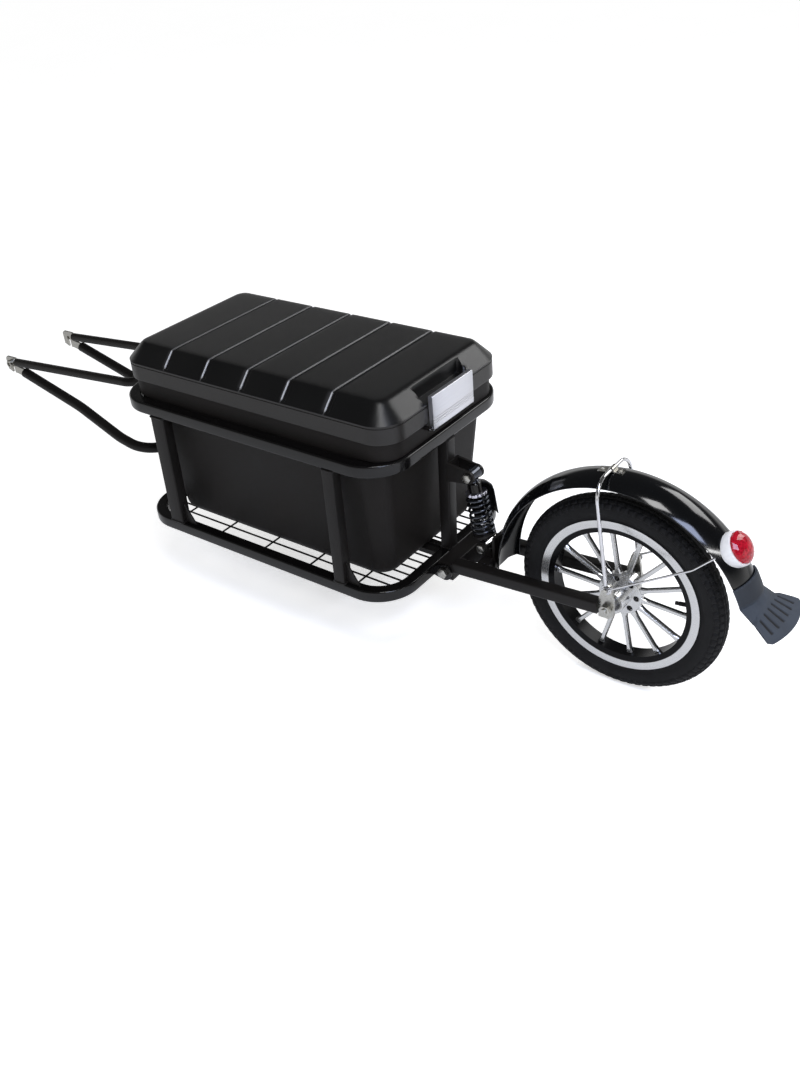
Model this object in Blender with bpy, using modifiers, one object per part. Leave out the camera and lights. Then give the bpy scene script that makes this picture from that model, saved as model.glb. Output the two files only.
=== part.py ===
"""Folding single-wheel bicycle trailer with a lidded box and a sprung wheel arm.

The origin is the middle of the bicycle's rear axle, where the yoke hooks on. +X runs
to the rear, -Y is the near side of the photograph, +Z is up. All sizes are in metres.
"""
import math

import bmesh
import bpy
import numpy as np
from mathutils import Matrix, Vector

# Daylight between two pieces that touch, and the air round a moving one
GAP = 0.0003
PLAY = 0.0010

# The hitch and the trailing wheel
HITCH_HEIGHT = 0.364
HITCH_HALF_WIDTH = 0.088
WHEEL_RADIUS = 0.200

# The basket's square tube and its two loops
TUBE = 0.025
TUBE_WALL = 0.0015
TUBE_ROUNDING = 0.003
LOOP_CORNER = 0.085
TOP_LOOP_FRONT = 0.544
TOP_LOOP_LENGTH = 0.711
TOP_LOOP_WIDTH = 0.420
TOP_LOOP_HEIGHT = 0.425
LOOP_END_TAPER = 0.008
BOTTOM_LOOP_WIDTH = 0.430
BOTTOM_LOOP_HEIGHT = 0.152
VENT_RADIUS = 0.0025

# The uprights, the floor beam and the welded floor mesh
FRONT_UPRIGHT_BEHIND_LOOP_FRONT = 0.127
FRONT_UPRIGHT_WIDTH = 0.036
REAR_UPRIGHT_AHEAD_OF_LOOP_REAR = 0.132
REAR_UPRIGHT_WIDTH = 0.026
GUSSET_REACH = 0.030
GUSSET_RISE = 0.045
GUSSET_THICKNESS = 0.004
BEAM_WIDTH = 0.038
BEAM_HEIGHT = 0.014
WIRE = 0.004
CROSS_WIRE_PITCH = 0.123
CROSS_WIRES = 5
LONG_WIRE_PITCH = 0.023
LONG_WIRES = 15

# The box that stands in the basket
BOX_REARWARD = 0.010
BOX_END_CLEARANCE = 0.0175
BOX_SIDE_CLEARANCE = 0.004
BOX_DRAFT = 0.026
BOX_WALL = 0.003
BOX_CORNER = 0.050
BOX_FOOT_ROUNDING = 0.022
RIM_OVERHANG = 0.0245
RIM_SIDE_OVERHANG = 0.002
RIM_HEIGHT = 0.0495
RIM_FLANGE = 0.005
POCKET_WIDTH = 0.300

# The lid
LID_END_CLEARANCE = 0.005
LID_SIDE_CLEARANCE = 0.001
LID_SKIRT_WALL = 0.003
LID_SKIRT_DROP = 0.013
LID_SKIRT_RISE = 0.0237
LID_CHAMFER_RISE = 0.034
LID_CHAMFER_RUN = 0.035
LID_CHAMFER_SIDE_RUN = 0.032
LID_ROOF = 0.0045
GROOVE_WIDTH = 0.009
GROOVE_DEPTH = 0.0025
GROOVE_PITCH = 0.104
GROOVE_FOOT = 0.004
GROOVES = 5
LATCH_NOTCH_WIDTH = 0.140
LATCH_NOTCH_RUN = 0.022
LATCH_NOTCH_HEIGHT = 0.018

# The latches
LATCH_WIDTH = 0.130
LATCH_HEIGHT = 0.063
FRONT_LATCH_HEIGHT = 0.041
LATCH_THICKNESS = 0.010
LATCH_KNUCKLE = 0.005
LATCH_PIN_RADIUS = 0.002
LATCH_EAR = 0.006

# The steering head and the yoke
HEAD_TO_BASKET = 0.050
HEAD_LUG = 0.008
HEAD_LUG_WIDTH = 0.036
STEERER_OVER_BOTTOM_LOOP = 0.044
STEERER_BELOW_TOP_LOOP = 0.013
STEERER_RADIUS = 0.017
STEERER_BORE = 0.013
BUSH_PLAY = 0.0001
KING_PIN_RADIUS = 0.006
UPPER_TUBE_RADIUS = 0.010
UPPER_TUBE_START_X = 0.0200
UPPER_TUBE_OVER_AXLE = 0.0047
UPPER_TUBE_BELOW_STEERER_TOP = 0.0063
UPPER_TUBE_CORNER = 0.040
LOWER_TUBE_RADIUS = 0.012
LOWER_TUBE_START_X = 0.044
LOWER_TUBE_UNDER_AXLE = 0.0173
LOWER_TUBE_KNEE_X = 0.236
LOWER_TUBE_KNEE_HEIGHT = 0.297
LOWER_TUBE_BEND_X = 0.362
LOWER_TUBE_BEND_HEIGHT = 0.246
LOWER_TUBE_OVER_STEERER_FOOT = 0.029
LOWER_TUBE_CORNER = 0.070
HITCH_PLATE = 0.005
HITCH_AXLE_RADIUS = 0.005

# The swing arm
PIVOT_BEHIND_LOOP = 0.023
PIVOT_TO_WHEEL = 0.342
PIVOT_HEIGHT = 0.168
PIVOT_TUBE = 0.036
PIVOT_BORE = 0.010
PIVOT_BOLT_RADIUS = 0.006
PIVOT_LUG = 0.006
ARM_HALF_SPACING = 0.055
ARM_FRONT_HEIGHT = 0.1795
ARM_REAR_HEIGHT = 0.1995
BRIDGE_FRONT = 0.0585
FENDER_PLATE_RISE = 0.062
FENDER_PLATE_DROP = 0.008
FENDER_PLATE_SHARE = 0.6
DROPOUT_THICKNESS = 0.006
DROPOUT_BEHIND = 0.013
DROPOUT_AHEAD = 0.0157
DROPOUT_ABOVE = 0.052
DROPOUT_BELOW = 0.022
STAY_EYE_RISE = 0.043

# The shock absorber, measured down its own axis from the upper eye
EYE_TO_EYE = 0.1519079
SHOCK_LEAN = math.radians(9.0903)
LOWER_EYE_BEHIND_PIVOT = 0.054
EYE_OVER_BRIDGE = 0.0010746
EYE_RADIUS = 0.0135
EYE_HALF_WIDTH = 0.0130
EAR_THICKNESS = 0.005
EYE_BOLT_RADIUS = 0.005
DAMPER_RADIUS = 0.013
DAMPER_TO_SEAT = 0.0337
SHAFT_RADIUS = 0.005
SHAFT_IN_DAMPER = 0.030
COLLAR_START = 0.0360
COLLAR_RADIUS = 0.021
COLLAR_THICKNESS = 0.006
SEAT_TO_LOWER_EYE = 0.0262079
SEAT_THICKNESS = 0.005
SPRING_OUTER_RADIUS = 0.023
SPRING_WIRE_RADIUS = 0.0032
SPRING_TURNS = 6
SPRING_END_PITCH = 0.0072
POINTS_PER_TURN = 9
GUARD_RADIUS = 0.034
GUARD_WALL = 0.002

# The wheel
AXLE_RADIUS = 0.0075
AXLE_END_RADIUS = 0.006
HUB_RADIUS = 0.022
HUB_HALF_WIDTH = 0.040
HUB_DISC_RADIUS = 0.042
HUB_DISC_HALF_THICKNESS = 0.007
HUB_HOLES = 7
HUB_HOLE_RADIUS = 0.0055
BEARING_RADIUS = 0.016
BEARING_WIDTH = 0.010
RIM_RADIUS = 0.156
RIM_HALF_WIDTH = 0.018
RIM_LIP = 0.002
RIM_INNER_RADIUS = 0.130
RIM_BAND_RADIUS = 0.142
BEAD_SEAT_RADIUS = 0.1497
SPOKES = 14
FIRST_SPOKE = math.radians(-157.3)
SPOKE_ROOT_WIDTH = 0.014
SPOKE_WAIST_WIDTH = 0.008
SPOKE_TIP_WIDTH = 0.013
SPOKE_DEPTH = 0.010
TYRE_SECTION_RADIUS = 0.0245
TYRE_WALL = 0.004
VALVE_ANGLE = math.radians(8.0)
VALVE_LENGTH = 0.025
VALVE_RADIUS = 0.004
WHEEL_STEPS = 42

# The mudguard and what it carries
FENDER_CENTRE_X = 0.004
FENDER_CENTRE_HEIGHT = 0.190
FENDER_RADIUS = 0.2575
FENDER_HALF_WIDTH = 0.040
FENDER_CROWN = 0.016
FENDER_THICKNESS = 0.002
FENDER_START = math.radians(20.0)
FENDER_END = math.radians(182.0)
STAY_RADIUS = 0.0035
STAY_OFFSET = 0.0622
STAY_EYE_RADIUS = 0.010
STAY_EYE_THICKNESS = 0.004
STAY_BOLT_RADIUS = 0.003
STAY_CROWN_X = -0.0245
STAY_BEND_BEHIND = 0.150
STAY_BEND_ABOVE = 0.135
STAY_BEND_INWARD = 0.0042
THIN_STAY_RADIUS = 0.002
LIGHT_ANGLE = math.radians(41.0)
LIGHT_TILT = math.radians(37.0)
LIGHT_RADIUS = 0.031
LIGHT_BASE_DEPTH = 0.014
LENS_RADIUS = 0.028
LENS_DEPTH = 0.017
FLAP_LENGTH = 0.066
FLAP_SLOPE = math.radians(-27.0)
FLAP_HALF_WIDTH = 0.062
FLAP_THICKNESS = 0.003

# Places that follow from the sizes above
GROUND = -HITCH_HEIGHT
TOP_LOOP_REAR = TOP_LOOP_FRONT + TOP_LOOP_LENGTH
BOTTOM_LOOP_FRONT = TOP_LOOP_FRONT + LOOP_END_TAPER
BOTTOM_LOOP_LENGTH = TOP_LOOP_LENGTH - 2 * LOOP_END_TAPER
BOTTOM_LOOP_REAR = BOTTOM_LOOP_FRONT + BOTTOM_LOOP_LENGTH
FRONT_UPRIGHT_X = TOP_LOOP_FRONT + FRONT_UPRIGHT_BEHIND_LOOP_FRONT
REAR_UPRIGHT_X = TOP_LOOP_REAR - REAR_UPRIGHT_AHEAD_OF_LOOP_REAR
TOP_LOOP_CENTRE = TOP_LOOP_FRONT + TOP_LOOP_LENGTH / 2
BOTTOM_LOOP_CENTRE = BOTTOM_LOOP_FRONT + BOTTOM_LOOP_LENGTH / 2
TOP_LOOP_Z = GROUND + TOP_LOOP_HEIGHT
BOTTOM_LOOP_Z = GROUND + BOTTOM_LOOP_HEIGHT
STEERER_LOW = BOTTOM_LOOP_Z + STEERER_OVER_BOTTOM_LOOP
STEERER_HIGH = TOP_LOOP_Z - STEERER_BELOW_TOP_LOOP
POST_BOTTOM = BOTTOM_LOOP_Z + TUBE + GAP
POST_TOP = TOP_LOOP_Z - GAP
BEAM_TOP = BOTTOM_LOOP_Z + BEAM_HEIGHT
MESH_TOP = BEAM_TOP + GAP + WIRE
BOX_FOOT = MESH_TOP + GAP
RIM_UNDERSIDE = TOP_LOOP_Z + TUBE + GAP
RIM_TOP = RIM_UNDERSIDE + RIM_HEIGHT
BOX_CENTRE_X = TOP_LOOP_CENTRE + BOX_REARWARD
BOX_TOP_LENGTH = TOP_LOOP_LENGTH - 2 * TUBE - 2 * BOX_END_CLEARANCE
BOX_TOP_WIDTH = TOP_LOOP_WIDTH - 2 * TUBE - 2 * BOX_SIDE_CLEARANCE
RIM_HALF_LENGTH = BOX_TOP_LENGTH / 2 + RIM_OVERHANG
RIM_HALF_BREADTH = BOX_TOP_WIDTH / 2 + RIM_SIDE_OVERHANG
LID_HALF_LENGTH = RIM_HALF_LENGTH + LID_END_CLEARANCE + LID_SKIRT_WALL
LID_HALF_BREADTH = RIM_HALF_BREADTH + LID_SIDE_CLEARANCE + LID_SKIRT_WALL
LID_LEDGE = RIM_TOP + GAP
LID_SKIRT_BOTTOM = RIM_TOP - LID_SKIRT_DROP
LID_SHOULDER = LID_LEDGE + LID_SKIRT_RISE
LID_TOP = LID_SHOULDER + LID_CHAMFER_RISE
LATCH_AXIS_REACH = LID_HALF_LENGTH + PLAY + LATCH_THICKNESS / 2
LATCH_AXIS_Z = LID_SKIRT_BOTTOM - LATCH_KNUCKLE - 2 * PLAY - LATCH_EAR / 2
HEAD_X = TOP_LOOP_FRONT - HEAD_TO_BASKET
PIVOT = Vector((BOTTOM_LOOP_REAR + PIVOT_BEHIND_LOOP, 0, GROUND + PIVOT_HEIGHT))
AXLE = Vector((PIVOT.x + PIVOT_TO_WHEEL, 0, GROUND + WHEEL_RADIUS))
ARM_FRONT_X = PIVOT.x + PIVOT_TUBE / 2 + GAP
ARM_REAR_X = AXLE.x - DROPOUT_AHEAD - GAP
BRIDGE_X = PIVOT.x + BRIDGE_FRONT
BRIDGE_SHARE = (BRIDGE_X + TUBE / 2 - ARM_FRONT_X) / (ARM_REAR_X - ARM_FRONT_X)
BRIDGE_Z = GROUND + ARM_FRONT_HEIGHT + (ARM_REAR_HEIGHT - ARM_FRONT_HEIGHT) * BRIDGE_SHARE
LOWER_EYE = Vector((PIVOT.x + LOWER_EYE_BEHIND_PIVOT, 0, BRIDGE_Z + TUBE / 2 + EYE_RADIUS + EYE_OVER_BRIDGE))
SHOCK_AXIS = Vector((math.sin(SHOCK_LEAN), 0, -math.cos(SHOCK_LEAN)))
UPPER_EYE = LOWER_EYE - SHOCK_AXIS * EYE_TO_EYE
SEAT_START = EYE_TO_EYE - SEAT_TO_LOWER_EYE
DAMPER_END = SEAT_START - DAMPER_TO_SEAT
FENDER_CENTRE = Vector((AXLE.x + FENDER_CENTRE_X, 0, GROUND + FENDER_CENTRE_HEIGHT))
DROPOUT_INNER = ARM_HALF_SPACING - DROPOUT_THICKNESS / 2
DROPOUT_OUTER = ARM_HALF_SPACING + DROPOUT_THICKNESS / 2
SIDES = (("near", -1), ("far", 1))

# Finishes: linear colour, roughness, metallic
FINISHES = {
    "satin_black_paint": ((0.012, 0.012, 0.013), 0.35, 0.0),
    "gloss_black_paint": ((0.008, 0.008, 0.009), 0.12, 0.0),
    "black_plastic": ((0.020, 0.020, 0.021), 0.55, 0.0),
    "brushed_aluminium": ((0.56, 0.57, 0.58), 0.32, 1.0),
    "zinc_steel": ((0.50, 0.49, 0.45), 0.30, 1.0),
    "chrome_steel": ((0.62, 0.62, 0.62), 0.10, 1.0),
    "cast_aluminium": ((0.60, 0.60, 0.60), 0.28, 1.0),
    "tyre_rubber": ((0.018, 0.018, 0.019), 0.85, 0.0),
    "slate_rubber": ((0.055, 0.070, 0.095), 0.70, 0.0),
    "light_plastic": ((0.75, 0.75, 0.76), 0.25, 0.0),
    "red_lens": ((0.65, 0.02, 0.04), 0.12, 0.0),
    "bearing_steel": ((0.42, 0.42, 0.43), 0.18, 1.0),
    "bronze_bush": ((0.40, 0.24, 0.10), 0.35, 1.0),
}

for old in list(bpy.data.objects):
    bpy.data.objects.remove(old, do_unlink=True)
PARTS = bpy.data.collections.new("folding_bicycle_trailer")
CUTTERS = bpy.data.collections.new("cutters")
bpy.context.scene.collection.children.link(PARTS)
bpy.context.scene.collection.children.link(CUTTERS)


# Making and placing objects

def add_object(name, mesh, collection=PARTS):
    """Link a new object that carries the mesh."""
    made = bpy.data.objects.new(name, mesh)
    collection.objects.link(made)
    return made


def mesh_from(shape, name):
    """Turn a finished bmesh into a mesh with its faces pointing out."""
    bmesh.ops.remove_doubles(shape, verts=shape.verts, dist=0.000005)
    bmesh.ops.recalc_face_normals(shape, faces=shape.faces)
    mesh = bpy.data.meshes.new(name)
    shape.to_mesh(mesh)
    shape.free()
    return mesh


def baked(source):
    """Replace an object by its evaluated, welded mesh, standing where it stood."""
    bpy.context.view_layer.update()
    evaluated = source.evaluated_get(bpy.context.evaluated_depsgraph_get())
    raw = bpy.data.meshes.new_from_object(evaluated)
    shape = bmesh.new()
    shape.from_mesh(raw)
    bpy.data.meshes.remove(raw)
    name = source.name
    collection = source.users_collection[0]
    place = source.matrix_world.copy()
    bpy.data.objects.remove(source, do_unlink=True)
    made = add_object(name, mesh_from(shape, name), collection)
    made.matrix_world = place
    return made


def finish(made, name):
    """Give a part its own Principled material and smooth round faces."""
    colour, roughness, metallic = FINISHES[name]
    material = bpy.data.materials.new(made.name + "_" + name)
    material.use_nodes = True
    shader = material.node_tree.nodes["Principled BSDF"]
    shader.inputs["Base Color"].default_value = (*colour, 1.0)
    shader.inputs["Roughness"].default_value = roughness
    shader.inputs["Metallic"].default_value = metallic
    made.data.materials.clear()
    made.data.materials.append(material)
    made.data.shade_smooth()
    made.data.set_sharp_from_angle(angle=math.radians(32))
    return made


def as_cutter(tool):
    """Move an object to the cutters, where it is only a tool."""
    for collection in list(tool.users_collection):
        collection.objects.unlink(tool)
    CUTTERS.objects.link(tool)
    tool.hide_render = True
    tool.display_type = "WIRE"
    return tool


def boolean(target, tool, operation="DIFFERENCE"):
    """Cut, join or trim the target with a tool."""
    as_cutter(tool)
    step = target.modifiers.new(tool.name, "BOOLEAN")
    step.operation = operation
    step.solver = "EXACT"
    step.object = tool
    return target


def soften(made, width, segments=2, angle=40):
    """Round the sharp edges of a part."""
    step = made.modifiers.new("rounded_edges", "BEVEL")
    step.width = width
    step.segments = segments
    step.limit_method = "ANGLE"
    step.angle_limit = math.radians(angle)
    return made


def turned_to(axis):
    """Rotation that takes local Z to an axis and local X as near to the rear as it can."""
    z = Vector(axis).normalized()
    x = Vector((1, 0, 0)) if abs(z.x) < 0.999 else Vector((0, 1, 0))
    x = (x - z * x.dot(z)).normalized()
    return Matrix((x, z.cross(x), z)).transposed().to_4x4()


# Basic shapes

def block(name, low, high):
    """A box between two corners."""
    low = Vector(low)
    high = Vector(high)
    shape = bmesh.new()
    bmesh.ops.create_cube(shape, size=1.0)
    bmesh.ops.scale(shape, vec=high - low, verts=shape.verts)
    made = add_object(name, mesh_from(shape, name))
    made.location = (low + high) / 2
    return made


def rod(name, start, end, radius, sides=24, end_radius=None):
    """A round bar, cone or hexagon between two points."""
    start = Vector(start)
    end = Vector(end)
    shape = bmesh.new()
    bmesh.ops.create_cone(shape, cap_ends=True, segments=sides, radius1=radius,
                          radius2=radius if end_radius is None else end_radius,
                          depth=(end - start).length)
    made = add_object(name, mesh_from(shape, name))
    made.matrix_world = Matrix.Translation((start + end) / 2) @ turned_to(end - start)
    return made


def turned(name, profile, centre, axis, steps=32, angle=math.tau, start=0.0, closed=True):
    """Turn a profile of (radius, distance along the axis) points about the axis."""
    shape = bmesh.new()
    points = [shape.verts.new((radius, 0, along)) for radius, along in profile]
    pairs = list(zip(points, points[1:]))
    if closed:
        pairs.append((points[-1], points[0]))
    for pair in pairs:
        shape.edges.new(pair)
    mesh = bpy.data.meshes.new(name)
    shape.to_mesh(mesh)
    shape.free()
    made = add_object(name, mesh)
    screw = made.modifiers.new("turn", "SCREW")
    screw.angle = angle
    screw.steps = steps
    screw.render_steps = steps
    screw.axis = "Z"
    screw.use_merge_vertices = angle == math.tau
    screw.merge_threshold = 0.00001
    spin = Matrix.Rotation(start, 4, "Z")
    made.matrix_world = Matrix.Translation(Vector(centre)) @ turned_to(axis) @ spin
    made = baked(made)
    if angle < math.tau:
        shape = bmesh.new()
        shape.from_mesh(made.data)
        bmesh.ops.holes_fill(shape, edges=[edge for edge in shape.edges if edge.is_boundary])
        made.data = mesh_from(shape, name)
    return made


def arc(centre, radius, start, end, steps):
    """Points of a circular arc in a plane, angles in radians."""
    angles = np.linspace(start, end, steps + 1)
    return [(centre[0] + radius * math.cos(a), centre[1] + radius * math.sin(a)) for a in angles]


def rounded_rectangle(centre, half_x, half_y, radius, steps=6):
    """Outline of a rectangle with round corners, anticlockwise."""
    corners = ((1, 1, 0), (-1, 1, 90), (-1, -1, 180), (1, -1, 270))
    points = []
    for side_x, side_y, turn in corners:
        middle = (centre[0] + side_x * (half_x - radius), centre[1] + side_y * (half_y - radius))
        begin = math.radians(turn)
        points += arc(middle, radius, begin, begin + math.pi / 2, steps)
    return points


def plate(name, outlines, thickness, place):
    """A flat piece: outlines with the holes among them, thickened evenly about its plane."""
    curve = bpy.data.curves.new(name, "CURVE")
    curve.dimensions = "2D"
    curve.fill_mode = "BOTH"
    curve.extrude = thickness / 2
    for outline in outlines:
        spline = curve.splines.new("POLY")
        spline.points.add(len(outline) - 1)
        for point, (u, v) in zip(spline.points, outline):
            point.co = (u, v, 0, 1)
        spline.use_cyclic_u = True
    made = bpy.data.objects.new(name, curve)
    PARTS.objects.link(made)
    made.matrix_world = place
    return baked(made)


def upright_plate(name, outlines, thickness, middle_y):
    """A plate in the plane of X and Z, its outlines given as (x, z)."""
    place = Matrix.Translation((0, middle_y, 0)) @ Matrix.Rotation(math.pi / 2, 4, "X")
    return plate(name, outlines, thickness, place)


def flat_plate(name, outlines, thickness, middle_z):
    """A plate in the plane of X and Y, its outlines given as (x, y)."""
    return plate(name, outlines, thickness, Matrix.Translation((0, 0, middle_z)))


def tube(name, points, radius, resolution=2):
    """A round rod along a list of points, with closed ends."""
    curve = bpy.data.curves.new(name, "CURVE")
    curve.dimensions = "3D"
    curve.bevel_depth = radius
    curve.bevel_resolution = resolution
    curve.use_fill_caps = True
    curve.twist_mode = "MINIMUM"
    spline = curve.splines.new("POLY")
    spline.points.add(len(points) - 1)
    for point, place in zip(spline.points, points):
        point.co = (*place, 1)
    made = bpy.data.objects.new(name, curve)
    PARTS.objects.link(made)
    return baked(made)


def rounded_path(corners, radii, steps=6):
    """A path through corner points, each inner corner replaced by an arc."""
    path = [Vector(corners[0])]
    for before, corner, after, radius in zip(corners, corners[1:], corners[2:], radii):
        corner = Vector(corner)
        back = (Vector(before) - corner).normalized()
        ahead = (Vector(after) - corner).normalized()
        half = back.angle(ahead) / 2
        centre = corner + (back + ahead).normalized() * radius / math.sin(half)
        first = corner + back * radius / math.tan(half) - centre
        last = corner + ahead * radius / math.tan(half) - centre
        sweep = first.angle(last)
        for step in range(steps + 1):
            share = step / steps
            arm = first * math.sin((1 - share) * sweep) + last * math.sin(share * sweep)
            path.append(centre + arm / math.sin(sweep))
    path.append(Vector(corners[-1]))
    return path


def square_tube(name, start, end, width, height, wall):
    """A hollow tube with upright end faces, along X or Z, which may lean a little."""
    start = Vector(start)
    end = Vector(end)
    upright = abs(end.z - start.z) > abs(end.x - start.x)
    length = abs(end.z - start.z) if upright else abs(end.x - start.x)
    outlines = [rounded_rectangle((0, 0), width / 2, height / 2, TUBE_ROUNDING, 2),
                rounded_rectangle((0, 0), width / 2 - wall, height / 2 - wall, 0.0005, 1)]
    made = flat_plate(name, outlines, length, 0)
    lean = (end - start) / 2
    for vertex in made.data.vertices:
        side = 1 if vertex.co.z > 0 else -1
        if upright:
            vertex.co += Vector((lean.x, lean.y, 0)) * side
        else:
            u, v, w = vertex.co
            vertex.co = Vector((w, u, v)) + Vector((0, lean.y, lean.z)) * side
    made.location = (start + end) / 2
    return made


def hexagon(name, start, end, radius, bore):
    """A nut or a bolt's head, with a bore when one is given."""
    made = rod(name, start, end, radius, 6)
    if bore:
        beyond = (Vector(end) - Vector(start)).normalized() * PLAY
        boolean(made, rod(name + "_bore", Vector(start) - beyond, Vector(end) + beyond, bore, 14))
    return made


def joined(name, pieces):
    """Put separate solids into one object."""
    shape = bmesh.new()
    bpy.context.view_layer.update()
    for piece in pieces:
        piece = baked(piece)
        part = piece.data.copy()
        part.transform(piece.matrix_world)
        shape.from_mesh(part)
        bpy.data.objects.remove(piece, do_unlink=True)
    return add_object(name, mesh_from(shape, name))


def stacked(name, rings, centre, corner_points=4):
    """A closed loft through rounded rectangles given as (z, half x, half y, radius)."""
    shape = bmesh.new()
    loops = []
    for z, half_x, half_y, radius in rings:
        outline = rounded_rectangle((0, 0), half_x, half_y, radius, corner_points)
        loops.append([shape.verts.new((x, y, z)) for x, y in outline])
    for lower, upper in zip(loops, loops[1:]):
        count = len(lower)
        for i in range(count):
            following = (i + 1) % count
            shape.faces.new((lower[i], lower[following], upper[following], upper[i]))
    shape.faces.new(loops[0])
    shape.faces.new(loops[-1])
    made = add_object(name, mesh_from(shape, name))
    made.location = (centre, 0, 0)
    return made


# The basket's two loops of bent square tube

def loop(name, centre, length, width, underside, lugs=()):
    """One loop of square tube with round corners, hollow and vented, with any lugs welded on."""
    half_x = length / 2
    half_y = width / 2
    middle = underside + TUBE / 2
    outlines = [rounded_rectangle((centre, 0), half_x, half_y, LOOP_CORNER, 6),
                rounded_rectangle((centre, 0), half_x - TUBE, half_y - TUBE, LOOP_CORNER - TUBE, 6)]
    made = flat_plate(name, outlines, TUBE, middle)
    soften(made, TUBE_ROUNDING, 1)
    made = baked(made)
    wall = TUBE_WALL
    hollow = [rounded_rectangle((centre, 0), half_x - wall, half_y - wall, LOOP_CORNER - wall, 5),
              rounded_rectangle((centre, 0), half_x - TUBE + wall, half_y - TUBE + wall,
                                LOOP_CORNER - TUBE + wall, 5)]
    boolean(made, flat_plate(name + "_hollow", hollow, TUBE - 2 * wall, middle))
    vent = half_x - TUBE - PLAY
    boolean(made, rod(name + "_vent", (centre + vent, LOOP_CORNER / 2, middle),
                      (centre + vent + TUBE / 2, LOOP_CORNER / 2, middle), VENT_RADIUS, 10))
    for lug in lugs:
        boolean(made, lug, "UNION")
    return finish(made, "gloss_black_paint")


PIVOT_HALF = ARM_HALF_SPACING + TUBE / 2
LUG_INNER = PIVOT_HALF + 2 * GAP
LUG_OUTER = LUG_INNER + PIVOT_LUG


def pivot_lug(side):
    """One of the two ears behind the bottom loop that carry the arm's pivot bolt."""
    root = BOTTOM_LOOP_REAR - TUBE_WALL / 2
    half = PIVOT_TUBE / 2
    nose = arc((PIVOT.x, PIVOT.z), half, -math.pi / 2, math.pi / 2, 8)
    hole = arc((PIVOT.x, PIVOT.z), PIVOT_BOLT_RADIUS + GAP, 0, math.tau - math.tau / 12, 11)
    low = BOTTOM_LOOP_Z + TUBE_ROUNDING
    outline = nose + [(root, PIVOT.z + half * 0.4), (root, low)]
    return upright_plate("pivot_lug", [outline, hole], PIVOT_LUG, side * (LUG_INNER + PIVOT_LUG / 2))


loop("bottom_loop", BOTTOM_LOOP_CENTRE, BOTTOM_LOOP_LENGTH, BOTTOM_LOOP_WIDTH, BOTTOM_LOOP_Z,
     [pivot_lug(-1), pivot_lug(1)])
loop("top_loop", TOP_LOOP_CENTRE, TOP_LOOP_LENGTH, TOP_LOOP_WIDTH, TOP_LOOP_Z)


# The four side uprights with their foot gussets, and the two end posts

BOTTOM_SIDE_Y = BOTTOM_LOOP_WIDTH / 2 - TUBE / 2
TOP_SIDE_Y = TOP_LOOP_WIDTH / 2 - TUBE / 2
for side_name, side in SIDES:
    for end_name, post_x, post_width in (("front", FRONT_UPRIGHT_X, FRONT_UPRIGHT_WIDTH),
                                         ("rear", REAR_UPRIGHT_X, REAR_UPRIGHT_WIDTH)):
        upright = square_tube("upright_" + side_name + "_" + end_name,
                              (post_x, side * BOTTOM_SIDE_Y, POST_BOTTOM),
                              (post_x, side * TOP_SIDE_Y, POST_TOP), post_width, TUBE, TUBE_WALL)
        foot = post_x + post_width / 2
        inside = foot - TUBE_WALL / 2
        triangle = [(inside, POST_BOTTOM), (foot + GUSSET_REACH, POST_BOTTOM),
                    (foot + TUBE_ROUNDING, POST_BOTTOM + GUSSET_RISE), (inside, POST_BOTTOM + GUSSET_RISE)]
        boolean(upright, upright_plate("foot_gusset", [triangle], GUSSET_THICKNESS, side * BOTTOM_SIDE_Y),
                "UNION")
        finish(upright, "satin_black_paint")
rear_post = square_tube("rear_post", (BOTTOM_LOOP_REAR - TUBE / 2, 0, POST_BOTTOM),
                        (TOP_LOOP_REAR - TUBE / 2, 0, POST_TOP), TUBE, TUBE, TUBE_WALL)
finish(rear_post, "satin_black_paint")


def post_face(z):
    """X of the front post's front face at a height, because the post leans."""
    share = (z - POST_BOTTOM) / (POST_TOP - POST_BOTTOM)
    return BOTTOM_LOOP_FRONT + (TOP_LOOP_FRONT - BOTTOM_LOOP_FRONT) * share


front_post = square_tube("front_post", (BOTTOM_LOOP_FRONT + TUBE / 2, 0, POST_BOTTOM),
                         (TOP_LOOP_FRONT + TUBE / 2, 0, POST_TOP), TUBE, TUBE, TUBE_WALL)
for lug_low in (STEERER_LOW - GAP - HEAD_LUG, STEERER_HIGH + GAP):
    half = HEAD_LUG_WIDTH / 2
    root = post_face(lug_low + HEAD_LUG / 2) + TUBE_WALL / 2
    nose = arc((HEAD_X, 0), half, math.pi / 2, 3 * math.pi / 2, 12)
    hole = arc((HEAD_X, 0), KING_PIN_RADIUS + GAP, 0, math.tau - math.tau / 24, 23)
    lug = flat_plate("head_lug", [nose + [(root, -half), (root, half)], hole], HEAD_LUG,
                     lug_low + HEAD_LUG / 2)
    boolean(front_post, lug, "UNION")
finish(front_post, "satin_black_paint")


# The floor: a flat beam down the middle and the welded wire mesh on it

FLOOR_FRONT = BOTTOM_LOOP_FRONT + TUBE + GAP
FLOOR_REAR = BOTTOM_LOOP_REAR - TUBE - GAP
FLOOR_SIDE = BOTTOM_LOOP_WIDTH / 2 - TUBE - GAP
beam = square_tube("floor_beam", (FLOOR_FRONT, 0, BOTTOM_LOOP_Z + BEAM_HEIGHT / 2),
                   (FLOOR_REAR, 0, BOTTOM_LOOP_Z + BEAM_HEIGHT / 2), BEAM_WIDTH, BEAM_HEIGHT, TUBE_WALL)
finish(beam, "satin_black_paint")


def wire_lines(count, pitch, centre):
    """The two edges of each wire in a row, in order."""
    first = centre - (count - 1) * pitch / 2
    return [first + i * pitch + edge for i in range(count) for edge in (-WIRE / 2, WIRE / 2)]


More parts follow.
